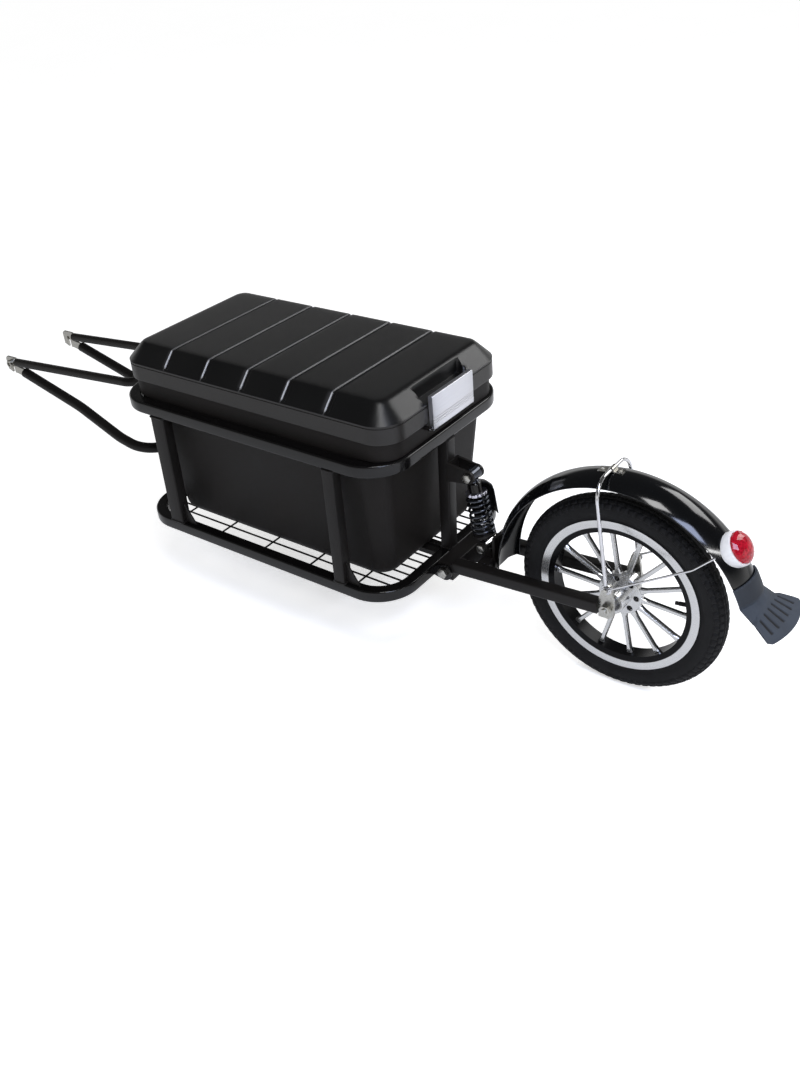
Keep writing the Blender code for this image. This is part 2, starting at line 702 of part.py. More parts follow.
def floor_end(y):
    """How far a lengthwise wire at this y runs from the middle before it meets the loop."""
    reach = BOTTOM_LOOP_LENGTH / 2 - TUBE - GAP
    inner_corner = LOOP_CORNER - TUBE
    into_corner = abs(y) - (BOTTOM_LOOP_WIDTH / 2 - TUBE - inner_corner)
    if into_corner <= 0:
        return reach
    return reach - inner_corner + math.sqrt(max(inner_corner ** 2 - into_corner ** 2, 0)) - GAP


def floor_mesh():
    """A lattice of wires cut from a grid: its open cells are deleted, the rest thickened."""
    middle_x = BOTTOM_LOOP_CENTRE
    xs = [0.0] + wire_lines(CROSS_WIRES, CROSS_WIRE_PITCH, middle_x) + [0.0]
    ys = [-FLOOR_SIDE] + wire_lines(LONG_WIRES, LONG_WIRE_PITCH, 0.0) + [FLOOR_SIDE]
    shape = bmesh.new()
    bmesh.ops.create_grid(shape, x_segments=len(xs) - 1, y_segments=len(ys) - 1, size=1.0)
    for vertex in shape.verts:
        column = round((vertex.co.x + 1) / 2 * (len(xs) - 1))
        row = round((vertex.co.y + 1) / 2 * (len(ys) - 1))
        vertex.index = column * len(ys) + row
    spots = {}
    for vertex in shape.verts:
        spots[vertex.index] = vertex
    open_cells = []
    for face in shape.faces:
        columns = sorted({v.index // len(ys) for v in face.verts})
        rows = sorted({v.index % len(ys) for v in face.verts})
        on_cross_wire = columns[0] % 2 == 1
        on_long_wire = rows[0] % 2 == 1
        if not on_cross_wire and not on_long_wire:
            open_cells.append(face)
    for index, vertex in spots.items():
        column, row = divmod(index, len(ys))
        wire_y = ys[row]
        x = xs[column]
        outer_edge = max(abs(ys[max(row - 1, 0)]), abs(wire_y), abs(ys[min(row + 1, len(ys) - 1)]))
        if column == 0:
            x = middle_x - floor_end(min(outer_edge, abs(wire_y) + WIRE))
        if column == len(xs) - 1:
            x = middle_x + floor_end(min(outer_edge, abs(wire_y) + WIRE))
        vertex.co = (x, wire_y, 0)
    bmesh.ops.delete(shape, geom=open_cells, context="FACES")
    made = add_object("floor_mesh", mesh_from(shape, "floor_mesh"))
    made.location = (0, 0, BEAM_TOP + GAP)
    wall = made.modifiers.new("wire_thickness", "SOLIDIFY")
    wall.thickness = WIRE
    wall.offset = 1.0
    return baked(made)


finish(floor_mesh(), "satin_black_paint")


# The storage box: a tapered tub with an overhanging rim and the latches' ears

def storage_box():
    """The tub, its rim hollow under both ends, with two pairs of latch ears."""
    half_x = BOX_TOP_LENGTH / 2
    half_y = BOX_TOP_WIDTH / 2
    rings = []
    for turn in (0, 30, 60, 90):
        rise = BOX_FOOT_ROUNDING * (1 - math.cos(math.radians(turn)))
        draw = BOX_DRAFT + BOX_FOOT_ROUNDING * (1 - math.sin(math.radians(turn)))
        rings.append((BOX_FOOT + rise, half_x - draw, half_y - draw, BOX_CORNER - draw / 2))
    rings.append((RIM_UNDERSIDE, half_x, half_y, BOX_CORNER))
    rings.append((RIM_UNDERSIDE, RIM_HALF_LENGTH, RIM_HALF_BREADTH, BOX_CORNER))
    rings.append((RIM_TOP, RIM_HALF_LENGTH, RIM_HALF_BREADTH, BOX_CORNER))
    rings.append((RIM_TOP, half_x - BOX_WALL, half_y - BOX_WALL, BOX_CORNER - BOX_WALL))
    floor_draw = BOX_DRAFT + BOX_WALL
    rings.append((BOX_FOOT + BOX_FOOT_ROUNDING, half_x - floor_draw, half_y - floor_draw,
                  BOX_CORNER - floor_draw / 2))
    for turn in (45, 0):
        rise = BOX_WALL + (BOX_FOOT_ROUNDING - BOX_WALL) * (1 - math.cos(math.radians(turn)))
        draw = floor_draw + (BOX_FOOT_ROUNDING - BOX_WALL) * (1 - math.sin(math.radians(turn)))
        rings.append((BOX_FOOT + rise, half_x - draw, half_y - draw, BOX_CORNER - draw / 2))
    made = stacked("storage_box", rings, BOX_CENTRE_X)
    for end in (-1, 1):
        inner = BOX_CENTRE_X + end * (half_x + BOX_WALL)
        outer = BOX_CENTRE_X + end * (RIM_HALF_LENGTH - BOX_WALL)
        low = (min(inner, outer), -POCKET_WIDTH / 2, RIM_UNDERSIDE - PLAY)
        high = (max(inner, outer), POCKET_WIDTH / 2, RIM_TOP - RIM_FLANGE)
        boolean(made, block("rim_pocket", low, high))
        for side_name, side in SIDES:
            ear_root = BOX_CENTRE_X + end * (RIM_HALF_LENGTH - BOX_WALL / 2)
            ear_tip = BOX_CENTRE_X + end * (LATCH_AXIS_REACH + LATCH_EAR / 2)
            near_edge = side * (LATCH_WIDTH / 2 + PLAY)
            far_edge = side * (LATCH_WIDTH / 2 + PLAY + LATCH_EAR)
            low = (min(ear_root, ear_tip), min(near_edge, far_edge), LATCH_AXIS_Z - LATCH_EAR / 2)
            high = (max(ear_root, ear_tip), max(near_edge, far_edge), LATCH_AXIS_Z + LATCH_EAR / 2)
            boolean(made, block("latch_ear", low, high), "UNION")
        axis_x = BOX_CENTRE_X + end * LATCH_AXIS_REACH
        reach = LATCH_WIDTH / 2 + PLAY + LATCH_EAR + PLAY
        boolean(made, rod("latch_pin_bore", (axis_x, -reach, LATCH_AXIS_Z),
                          (axis_x, reach, LATCH_AXIS_Z), LATCH_PIN_RADIUS + BUSH_PLAY, 12))
    return finish(made, "black_plastic")


storage_box()

# The lid: skirt, chamfered roof, five cross grooves and a notch over the rear latch

def roof_band(lift):
    """Half of the roof's outline across the trailer, raised or sunk by a lift."""
    slope = math.atan2(LID_CHAMFER_RISE, LID_CHAMFER_SIDE_RUN)
    foot = LID_HALF_BREADTH - GROOVE_FOOT / math.tan(slope)
    ridge = LID_HALF_BREADTH - LID_CHAMFER_SIDE_RUN
    return [(foot + lift * math.sin(slope), LID_SHOULDER + GROOVE_FOOT + lift * math.cos(slope)),
            (ridge + lift * math.tan(slope / 2), LID_TOP + lift)]


def box_lid():
    """The lid's shell with its grooves."""
    skirt_x = LID_HALF_LENGTH - LID_SKIRT_WALL
    skirt_y = LID_HALF_BREADTH - LID_SKIRT_WALL
    inner_x = LID_HALF_LENGTH - 5 * LID_SKIRT_WALL
    inner_y = LID_HALF_BREADTH - 3.5 * LID_SKIRT_WALL
    roof_x = LID_HALF_LENGTH - LID_CHAMFER_RUN
    roof_y = LID_HALF_BREADTH - LID_CHAMFER_SIDE_RUN
    rings = [(LID_TOP - LID_ROOF, roof_x - LID_ROOF, roof_y - LID_ROOF, BOX_CORNER / 2),
             (LID_SHOULDER - GAP, inner_x + LID_SKIRT_WALL, inner_y + LID_SKIRT_WALL, BOX_CORNER - 0.004),
             (LID_LEDGE, inner_x, inner_y, BOX_CORNER - 0.005),
             (LID_LEDGE, skirt_x, skirt_y, BOX_CORNER),
             (LID_SKIRT_BOTTOM, skirt_x, skirt_y, BOX_CORNER),
             (LID_SKIRT_BOTTOM, LID_HALF_LENGTH, LID_HALF_BREADTH, BOX_CORNER + LID_SKIRT_WALL),
             (LID_SHOULDER, LID_HALF_LENGTH, LID_HALF_BREADTH, BOX_CORNER + LID_SKIRT_WALL),
             (LID_TOP, roof_x, roof_y, BOX_CORNER / 2)]
    made = stacked("box_lid", rings, BOX_CENTRE_X)
    outer = roof_band(4 * GROOVE_DEPTH)
    inner = roof_band(-GROOVE_DEPTH)
    band = outer + [(-y, z) for y, z in reversed(outer)]
    band += [(-y, z) for y, z in inner] + list(reversed(inner))
    for number in range(GROOVES):
        x = BOX_CENTRE_X + (number - (GROOVES - 1) / 2) * GROOVE_PITCH
        place = Matrix.Translation((x, 0, 0)) @ Matrix.Rotation(math.pi / 2, 4, "Z")
        place = place @ Matrix.Rotation(math.pi / 2, 4, "X")
        boolean(made, plate("lid_groove", [band], GROOVE_WIDTH, place))
    rear = BOX_CENTRE_X + LID_HALF_LENGTH
    low = (rear - LATCH_NOTCH_RUN, -LATCH_NOTCH_WIDTH / 2, LID_TOP - LATCH_NOTCH_HEIGHT)
    high = (rear + PLAY, LATCH_NOTCH_WIDTH / 2, LID_TOP + PLAY)
    boolean(made, block("latch_notch", low, high))
    return finish(made, "black_plastic")


box_lid()


# The two latches, hinged on stub pins below the lid's skirt; the front one is lower

def latch(name, end, height):
    """A flat metal latch with a rolled knuckle and a stub pin at each end of it."""
    axis_x = BOX_CENTRE_X + end * LATCH_AXIS_REACH
    half = LATCH_WIDTH / 2
    made = block(name, (-LATCH_THICKNESS / 2, -half, -LATCH_KNUCKLE / 2),
                 (LATCH_THICKNESS / 2, half, height))
    made = soften(made, 0.0015, 1)
    made.location = (axis_x, 0, LATCH_AXIS_Z + (height - LATCH_KNUCKLE / 2) / 2)
    made = baked(made)
    boolean(made, rod(name + "_knuckle", (axis_x, -half, LATCH_AXIS_Z), (axis_x, half, LATCH_AXIS_Z),
                      LATCH_KNUCKLE, 16), "UNION")
    reach = half + PLAY + LATCH_EAR
    boolean(made, rod(name + "_pin", (axis_x, -reach, LATCH_AXIS_Z), (axis_x, reach, LATCH_AXIS_Z),
                      LATCH_PIN_RADIUS, 12), "UNION")
    return finish(made, "brushed_aluminium")


latch("latch_front", -1, FRONT_LATCH_HEIGHT)
latch("latch_rear", 1, LATCH_HEIGHT)


# The king pin that the yoke turns on, held by its own weight and lifted out by its head

king_pin = rod("king_pin", (HEAD_X, 0, STEERER_LOW - HEAD_LUG - 0.012),
               (HEAD_X, 0, STEERER_HIGH + HEAD_LUG + 0.004), KING_PIN_RADIUS, 22)
pin_head = STEERER_HIGH + HEAD_LUG + 2 * GAP
boolean(king_pin, rod("king_pin_head", (HEAD_X, 0, pin_head), (HEAD_X, 0, pin_head + 0.008), 0.011, 6),
        "UNION")
finish(king_pin, "zinc_steel")


# The yoke: two bent tubes on the steerer, with a slotted plate at each side

def yoke():
    """The steerer, its bushes, both bent tubes, the hitch plates and their nuts."""
    steerer = turned("steerer_tube", [(STEERER_BORE, STEERER_LOW), (STEERER_RADIUS, STEERER_LOW),
                                      (STEERER_RADIUS, STEERER_HIGH), (STEERER_BORE, STEERER_HIGH)],
                     (HEAD_X, 0, 0), (0, 0, 1), 22)
    finish(steerer, "satin_black_paint")
    low = STEERER_LOW + GAP
    high = STEERER_HIGH - GAP
    profile = [(KING_PIN_RADIUS + BUSH_PLAY, low), (STEERER_BORE - GAP, low), (STEERER_BORE - GAP, high),
               (KING_PIN_RADIUS + BUSH_PLAY, high)]
    finish(turned("steerer_bush", profile, (HEAD_X, 0, 0), (0, 0, 1), 22), "bronze_bush")
    upper_back = HEAD_X - STEERER_RADIUS - UPPER_TUBE_RADIUS - GAP
    lower_back = HEAD_X - STEERER_RADIUS - LOWER_TUBE_RADIUS - GAP
    half = HITCH_HALF_WIDTH
    across = Vector((0, half, 0))
    upper_start = Vector((UPPER_TUBE_START_X, 0, UPPER_TUBE_OVER_AXLE))
    upper_end = Vector((upper_back, 0, STEERER_HIGH - UPPER_TUBE_BELOW_STEERER_TOP))
    corners = [upper_start - across, upper_end - across, upper_end + across, upper_start + across]
    path = rounded_path(corners, [UPPER_TUBE_CORNER] * 2, 7)
    finish(tube("yoke_upper_tube", path, UPPER_TUBE_RADIUS, 2), "satin_black_paint")
    lower_start = Vector((LOWER_TUBE_START_X, 0, -LOWER_TUBE_UNDER_AXLE))
    knee = Vector((LOWER_TUBE_KNEE_X, 0, GROUND + LOWER_TUBE_KNEE_HEIGHT))
    bend = Vector((LOWER_TUBE_BEND_X, 0, GROUND + LOWER_TUBE_BEND_HEIGHT))
    lower_end = Vector((lower_back, 0, STEERER_LOW + LOWER_TUBE_OVER_STEERER_FOOT))
    side_line = [lower_start, knee, bend, lower_end]
    corners = [place - across for place in side_line] + [place + across for place in reversed(side_line)]
    corner = LOWER_TUBE_CORNER
    path = rounded_path(corners, [4 * corner, 2 * corner, corner, corner, 2 * corner, 4 * corner], 4)
    finish(tube("yoke_lower_tube", path, LOWER_TUBE_RADIUS, 2), "satin_black_paint")
    along_upper = (upper_end - upper_start).normalized()
    square_upper = Vector((-along_upper.z, 0, along_upper.x))
    along_lower = (knee - lower_start).normalized()
    square_lower = Vector((-along_lower.z, 0, along_lower.x))
    upper_foot = upper_start - along_upper * GAP
    lower_foot = lower_start - along_lower * GAP
    slot = HITCH_AXLE_RADIUS + GAP
    outline = [(-0.020, 0.010), (-0.014, 0.016)]
    top = upper_foot + square_upper * (UPPER_TUBE_RADIUS + 0.002)
    waist = upper_foot - square_upper * (UPPER_TUBE_RADIUS + 2 * GAP)
    tail = lower_foot + square_lower * (LOWER_TUBE_RADIUS * 0.75)
    toe = lower_foot - square_lower * LOWER_TUBE_RADIUS
    outline += [(p.x, p.z) for p in (top, waist, tail, toe)]
    outline += [(0.014, -0.024), (slot, -0.024)]
    outline += arc((0, 0), slot, 0, math.pi, 8)
    outline += [(-slot, -0.024), (-0.020, -0.018)]
    for side_name, side in SIDES:
        plate_made = upright_plate("hitch_plate_" + side_name, [outline], HITCH_PLATE, side * half)
        finish(plate_made, "zinc_steel")
        face = half + HITCH_PLATE / 2 + GAP
        nut = hexagon("hitch_nut_" + side_name, (0, side * face, 0), (0, side * (face + 0.009), 0), 0.0098,
                      HITCH_AXLE_RADIUS)
        finish(nut, "zinc_steel")


yoke()


# The swing arm: pivot tube and bushes, two side tubes, a bridge and the dropouts

pivot_tube = block("pivot_tube", (PIVOT.x - PIVOT_TUBE / 2, -PIVOT_HALF, PIVOT.z - PIVOT_TUBE / 2),
                   (PIVOT.x + PIVOT_TUBE / 2, PIVOT_HALF, PIVOT.z + PIVOT_TUBE / 2))
pivot_tube = baked(soften(pivot_tube, TUBE_ROUNDING, 2))
boolean(pivot_tube, rod("pivot_bore", PIVOT - Vector((0, PIVOT_HALF + PLAY, 0)),
                        PIVOT + Vector((0, PIVOT_HALF + PLAY, 0)), PIVOT_BORE, 28))
finish(pivot_tube, "satin_black_paint")
profile = [(PIVOT_BOLT_RADIUS + BUSH_PLAY, -PIVOT_HALF), (PIVOT_BORE - GAP, -PIVOT_HALF),
           (PIVOT_BORE - GAP, PIVOT_HALF), (PIVOT_BOLT_RADIUS + BUSH_PLAY, PIVOT_HALF)]
finish(turned("pivot_bush", profile, PIVOT, (0, 1, 0), 24), "bronze_bush")

for side_name, side in SIDES:
    arm = square_tube("arm_" + side_name,
                      (ARM_FRONT_X, side * ARM_HALF_SPACING, GROUND + ARM_FRONT_HEIGHT),
                      (ARM_REAR_X, side * ARM_HALF_SPACING, GROUND + ARM_REAR_HEIGHT),
                      TUBE, TUBE, TUBE_WALL)
    finish(arm, "satin_black_paint")
    upper_hole = AXLE + Vector((0, 0, STAY_EYE_RISE))
    crown = arc((upper_hole.x, upper_hole.z), DROPOUT_ABOVE - STAY_EYE_RISE, math.radians(150),
                math.radians(30), 6)
    outline = [(AXLE.x - DROPOUT_AHEAD, AXLE.z - DROPOUT_BELOW), (AXLE.x - DROPOUT_AHEAD, AXLE.z + 0.020)]
    outline += crown
    outline += [(AXLE.x + DROPOUT_BEHIND, AXLE.z + 0.012), (AXLE.x + DROPOUT_BEHIND, AXLE.z - 0.014),
                (AXLE.x + 0.004, AXLE.z - DROPOUT_BELOW)]
    axle_hole = arc((AXLE.x, AXLE.z), AXLE_END_RADIUS + GAP, 0, math.tau - math.tau / 20, 19)
    stay_hole = arc((upper_hole.x, upper_hole.z), 0.003 + GAP, 0, math.tau - math.tau / 12, 11)
    dropout = upright_plate("dropout_" + side_name, [outline, axle_hole, stay_hole],
                            DROPOUT_THICKNESS, side * ARM_HALF_SPACING)
    finish(dropout, "zinc_steel")


BRIDGE_HALF = ARM_HALF_SPACING - TUBE / 2 - GAP
FENDER_PLATE_X = FENDER_CENTRE.x - FENDER_RADIUS - 2 * GAP
bridge = block("arm_bridge", (BRIDGE_X, -BRIDGE_HALF, BRIDGE_Z - TUBE / 2),
               (BRIDGE_X + TUBE, BRIDGE_HALF, BRIDGE_Z + TUBE / 2))
bridge = baked(soften(bridge, TUBE_ROUNDING, 2))
boolean(bridge, block("fender_plate", (BRIDGE_X + TUBE - PLAY, -FENDER_HALF_WIDTH * FENDER_PLATE_SHARE,
                                       BRIDGE_Z - FENDER_PLATE_DROP),
                      (FENDER_PLATE_X, FENDER_HALF_WIDTH * FENDER_PLATE_SHARE,
                       BRIDGE_Z + FENDER_PLATE_RISE)), "UNION")
EAR_MIDDLE = EYE_HALF_WIDTH + 2 * GAP + EAR_THICKNESS / 2
EAR_FACE = EAR_MIDDLE + EAR_THICKNESS / 2
for side_name, side in SIDES:
    front = PIVOT.x + PIVOT_TUBE / 2 + GAP
    step = BRIDGE_X + PLAY
    deck = BRIDGE_Z + TUBE / 2 - PLAY
    eye = arc((LOWER_EYE.x, LOWER_EYE.z), EYE_RADIUS, math.radians(10), math.radians(125), 8)
    outline = [(front, PIVOT.z), (step, BRIDGE_Z - TUBE / 4), (step, deck), (BRIDGE_X + 0.8 * TUBE, deck)]
    outline += eye + [(front, PIVOT.z + PIVOT_TUBE / 2 - TUBE_ROUNDING)]
    hole = arc((LOWER_EYE.x, LOWER_EYE.z), EYE_BOLT_RADIUS + GAP, 0, math.tau - math.tau / 20, 19)
    boolean(bridge, upright_plate("shock_ear", [outline, hole], EAR_THICKNESS, side * EAR_MIDDLE), "UNION")
finish(bridge, "satin_black_paint")


def eye_bolt(name, place, finish_name="zinc_steel"):
    """A bolt across a pair of ears, its head on the near side."""
    head = -EAR_FACE - GAP
    made = rod(name, place + Vector((0, head - 0.004, 0)), place + Vector((0, EAR_FACE + 0.010, 0)),
               EYE_BOLT_RADIUS, 18)
    boolean(made, rod(name + "_head", place + Vector((0, head - 0.006, 0)),
                      place + Vector((0, head, 0)), 0.0092, 6), "UNION")
    return finish(made, finish_name)


eye_bolt("shock_upper_bolt", UPPER_EYE)
eye_bolt("shock_lower_bolt", LOWER_EYE)
finish(hexagon("shock_lower_nut", LOWER_EYE + Vector((0, EAR_FACE + GAP, 0)),
               LOWER_EYE + Vector((0, EAR_FACE + 0.008, 0)), 0.0092, EYE_BOLT_RADIUS + GAP), "zinc_steel")


# The pivot bolt through the lugs and the arm, and its nut

pivot_bolt = rod("pivot_bolt", PIVOT + Vector((0, -LUG_OUTER - 0.005, 0)),
                 PIVOT + Vector((0, LUG_OUTER + 0.013, 0)), PIVOT_BOLT_RADIUS, 24)
boolean(pivot_bolt, rod("pivot_bolt_head", PIVOT + Vector((0, -LUG_OUTER - GAP - 0.007, 0)),
                        PIVOT + Vector((0, -LUG_OUTER - GAP, 0)), 0.011, 6), "UNION")
finish(pivot_bolt, "zinc_steel")
finish(hexagon("pivot_nut", PIVOT + Vector((0, LUG_OUTER + GAP, 0)),
               PIVOT + Vector((0, LUG_OUTER + 0.010, 0)), 0.011, PIVOT_BOLT_RADIUS + GAP), "zinc_steel")


# The shock absorber: bracket, damper, shaft, collar, seat, spring and guard

def down_shock(distance):
    """A point on the shock's axis, measured from the upper eye."""
    return UPPER_EYE + SHOCK_AXIS * distance


def rear_post_face(z):
    """X of the rear post's rear face at a height, because the post leans."""
    share = (z - POST_BOTTOM) / (POST_TOP - POST_BOTTOM)
    return BOTTOM_LOOP_REAR + (TOP_LOOP_REAR - BOTTOM_LOOP_REAR) * share


def shock_bracket():
    """A base plate on the rear post with two ears for the upper eye."""
    low = UPPER_EYE.z - 0.020
    high = UPPER_EYE.z + 0.020
    face = max(rear_post_face(low), rear_post_face(high)) + GAP
    back = face + EAR_THICKNESS
    made = block("shock_upper_bracket", (face, -EAR_FACE, low), (back, EAR_FACE, high))
    eye = arc((UPPER_EYE.x, UPPER_EYE.z), EYE_RADIUS, math.radians(-70), math.radians(100), 9)
    outline = [(back - PLAY, low + PLAY)] + eye + [(back - PLAY, high - PLAY)]
    hole = arc((UPPER_EYE.x, UPPER_EYE.z), EYE_BOLT_RADIUS + GAP, 0, math.tau - math.tau / 20, 19)
    for side_name, side in SIDES:
        ear = upright_plate("bracket_ear", [outline, hole], EAR_THICKNESS, side * EAR_MIDDLE)
        boolean(made, ear, "UNION")
    return finish(made, "satin_black_paint")


def eye_ring(name, place, bore):
    """The barrel of a shock eye, bored across the trailer."""
    half = EYE_HALF_WIDTH
    return turned(name, [(bore, -half), (EYE_RADIUS - PLAY, -half), (EYE_RADIUS - PLAY, half), (bore, half)],
                  place, (0, 1, 0), 18)


def shock():
    """Damper body with its upper eye, sliding shaft with the lower one, and what they carry."""
    shock_bracket()
    body = eye_ring("shock_body", UPPER_EYE, EYE_BOLT_RADIUS + BUSH_PLAY)
    bore = SHAFT_RADIUS + BUSH_PLAY
    neck = EYE_RADIUS - 3 * PLAY
    damper = turned("damper", [(0, neck), (0.008, neck), (DAMPER_RADIUS, neck + 0.008),
                               (DAMPER_RADIUS, DAMPER_END), (bore, DAMPER_END),
                               (bore, COLLAR_START + PLAY), (0, COLLAR_START + PLAY)],
                    UPPER_EYE, SHOCK_AXIS, 18, closed=False)
    boolean(body, damper, "UNION")
    finish(body, "satin_black_paint")
    shaft = eye_ring("shock_shaft", LOWER_EYE, EYE_BOLT_RADIUS + 2 * GAP)
    boolean(shaft, rod("shaft_rod", down_shock(DAMPER_END - SHAFT_IN_DAMPER), down_shock(EYE_TO_EYE - EYE_RADIUS + 3 * PLAY),
                       SHAFT_RADIUS, 20), "UNION")
    finish(shaft, "chrome_steel")
    inner = DAMPER_RADIUS + GAP
    end = COLLAR_START + COLLAR_THICKNESS
    collar = turned("preload_collar", [(inner, COLLAR_START), (COLLAR_RADIUS - PLAY, COLLAR_START),
                                       (COLLAR_RADIUS, COLLAR_START + PLAY), (COLLAR_RADIUS, end),
                                       (inner, end)], UPPER_EYE, SHOCK_AXIS, 20)
    finish(collar, "cast_aluminium")
    end = SEAT_START + SEAT_THICKNESS
    seat = turned("spring_seat", [(bore, SEAT_START), (SPRING_OUTER_RADIUS - PLAY, SEAT_START),
                                  (SPRING_OUTER_RADIUS, SEAT_START + PLAY), (SPRING_OUTER_RADIUS - PLAY, end),
                                  (bore, end)], UPPER_EYE, SHOCK_AXIS, 20)
    finish(seat, "satin_black_paint")


def spring_points():
    """A helix with closely wound ends, in the shock's own frame from the upper eye down."""
    low = COLLAR_START + COLLAR_THICKNESS + GAP + SPRING_WIRE_RADIUS
    high = SEAT_START - GAP - SPRING_WIRE_RADIUS
    free_pitch = (high - low - 2 * SPRING_END_PITCH) / (SPRING_TURNS - 2)
    mean = SPRING_OUTER_RADIUS - SPRING_WIRE_RADIUS
    turns = np.linspace(0, SPRING_TURNS, SPRING_TURNS * POINTS_PER_TURN + 1)
    pitch = np.where((turns < 1) | (turns > SPRING_TURNS - 1), SPRING_END_PITCH, free_pitch)
    rise = np.concatenate([[0], np.cumsum((pitch[1:] + pitch[:-1]) / 2 * np.diff(turns))])
    along = low + rise * (high - low) / rise[-1]
    angle = turns * math.tau
    return np.stack([mean * np.cos(angle), mean * np.sin(angle), along], axis=1)


def least_gap(points, radius):
    """Least daylight between turns, measured on points along the wire."""
    fine = np.concatenate([points[:-1] + (points[1:] - points[:-1]) * t for t in (0, 0.25, 0.5, 0.75)])
    order = np.concatenate([np.arange(len(points) - 1) + t for t in (0, 0.25, 0.5, 0.75)])
    apart = np.linalg.norm(fine[:, None] - fine[None], axis=2)
    apart[np.abs(order[:, None] - order[None]) < POINTS_PER_TURN / 2] = np.inf
    return apart.min() - 2 * radius


def shock_spring():
    """The visible coil spring between the collar and the lower seat."""
    points = spring_points()
    print("least gap between the spring's turns, mm:", round(least_gap(points, SPRING_WIRE_RADIUS) * 1000, 2))
    place = Matrix.Translation(UPPER_EYE) @ turned_to(SHOCK_AXIS)
    world = [place @ Vector(point) for point in points]
    return finish(tube("shock_spring", world, SPRING_WIRE_RADIUS, 1), "gloss_black_paint")


def shock_guard():
    """A part-round splash guard clamped on the damper, along the far side of the spring."""
    grip = DAMPER_RADIUS + GAP
    wall = GUARD_WALL
    outer = [(grip, 0.018), (0.024, 0.022), (GUARD_RADIUS - 0.002, 0.031), (GUARD_RADIUS, 0.042),
             (GUARD_RADIUS, DAMPER_END)]
    inner = [(GUARD_RADIUS - wall, DAMPER_END), (GUARD_RADIUS - wall, 0.042), (GUARD_RADIUS - 0.004, 0.033),
             (0.023, 0.0245), (grip, 0.0205)]
    made = turned("shock_guard", outer + inner, UPPER_EYE, SHOCK_AXIS, 12, math.radians(115),
                  math.radians(-155))
    return finish(made, "black_plastic")


shock()
shock_spring()
shock_guard()


# The wheel: cast hub, spokes and rim in one piece, tyre, valve, bearings and axle

def around_axle(radius, angle):
    """A point in the wheel's middle plane, angles from the rear upward."""
    return AXLE + Vector((radius * math.cos(angle), 0, radius * math.sin(angle)))


def alloy_wheel():
    """The cast wheel: a hub with a disc, fourteen flared spokes and the rim."""
    lip = RIM_HALF_WIDTH - RIM_LIP
    narrow = RIM_HALF_WIDTH - 0.0035
    half_profile = [(RIM_INNER_RADIUS, narrow), (RIM_BAND_RADIUS, RIM_HALF_WIDTH),
                    (RIM_RADIUS, RIM_HALF_WIDTH), (RIM_RADIUS, lip), (BEAD_SEAT_RADIUS, lip)]
    profile = half_profile + [(radius, -along) for radius, along in reversed(half_profile)]
    made = turned("alloy_wheel", profile, AXLE, (0, 1, 0), WHEEL_STEPS)
    spokes = []
    root = HUB_DISC_RADIUS - 0.004
    tip = RIM_INNER_RADIUS + 0.002
    for number in range(SPOKES):
        turn = FIRST_SPOKE + number * math.tau / SPOKES
        sides = ((root, SPOKE_ROOT_WIDTH), (root + 0.016, SPOKE_WAIST_WIDTH),
                 (tip - 0.014, SPOKE_WAIST_WIDTH), (tip, SPOKE_TIP_WIDTH))
        outline = [(along, -width / 2) for along, width in sides]
        outline += [(along, width / 2) for along, width in reversed(sides)]
        place = Matrix.Translation(AXLE) @ Matrix.Rotation(-turn, 4, "Y") @ Matrix.Rotation(math.pi / 2, 4, "X")
        spokes.append(plate("spoke", [outline], SPOKE_DEPTH, place))
    boolean(made, joined("spokes", spokes), "UNION")
    half = HUB_HALF_WIDTH
    pocket = half - BEARING_WIDTH - GAP
    bearing = BEARING_RADIUS + GAP
    bore = AXLE_RADIUS + 4 * PLAY
    disc = HUB_DISC_HALF_THICKNESS
    half_profile = [(bore, pocket), (bearing, pocket), (bearing, half), (HUB_RADIUS - PLAY, half),
                    (HUB_RADIUS, half - PLAY), (HUB_RADIUS, disc + 0.003), (HUB_DISC_RADIUS, disc)]
    profile = half_profile + [(radius, -along) for radius, along in reversed(half_profile)]
    boolean(made, turned("hub", profile, AXLE, (0, 1, 0), 21), "UNION")
    reach = Vector((0, HUB_HALF_WIDTH, 0))
    holes = []
    for number in range(HUB_HOLES):
        middle = around_axle((HUB_RADIUS + HUB_DISC_RADIUS) / 2, FIRST_SPOKE + number * math.tau / HUB_HOLES)
        holes.append(rod("hub_hole", middle - reach, middle + reach, HUB_HOLE_RADIUS, 8))
    boolean(made, joined("hub_holes", holes))
    return finish(made, "cast_aluminium")


def tyre():
    """An open tyre carcass whose beads stand on the rim's seats."""
    middle = WHEEL_RADIUS - TYRE_SECTION_RADIUS
    outer = TYRE_SECTION_RADIUS
    inner = TYRE_SECTION_RADIUS - TYRE_WALL
    bead_outer = RIM_HALF_WIDTH - RIM_LIP - 2 * GAP
    bead_inner = bead_outer - 0.005
    foot = BEAD_SEAT_RADIUS + GAP
    turn = math.pi - math.asin(bead_outer / outer)
    profile = arc((middle, 0), outer, -turn, turn, 10)
    profile += [(foot, bead_outer), (foot, bead_inner)]
    turn = math.pi - math.asin(bead_inner / inner)
    profile += arc((middle, 0), inner, turn, -turn, 4)
    profile += [(foot, -bead_inner), (foot, -bead_outer)]
    return finish(turned("tyre", profile, AXLE, (0, 1, 0), WHEEL_STEPS), "tyre_rubber")


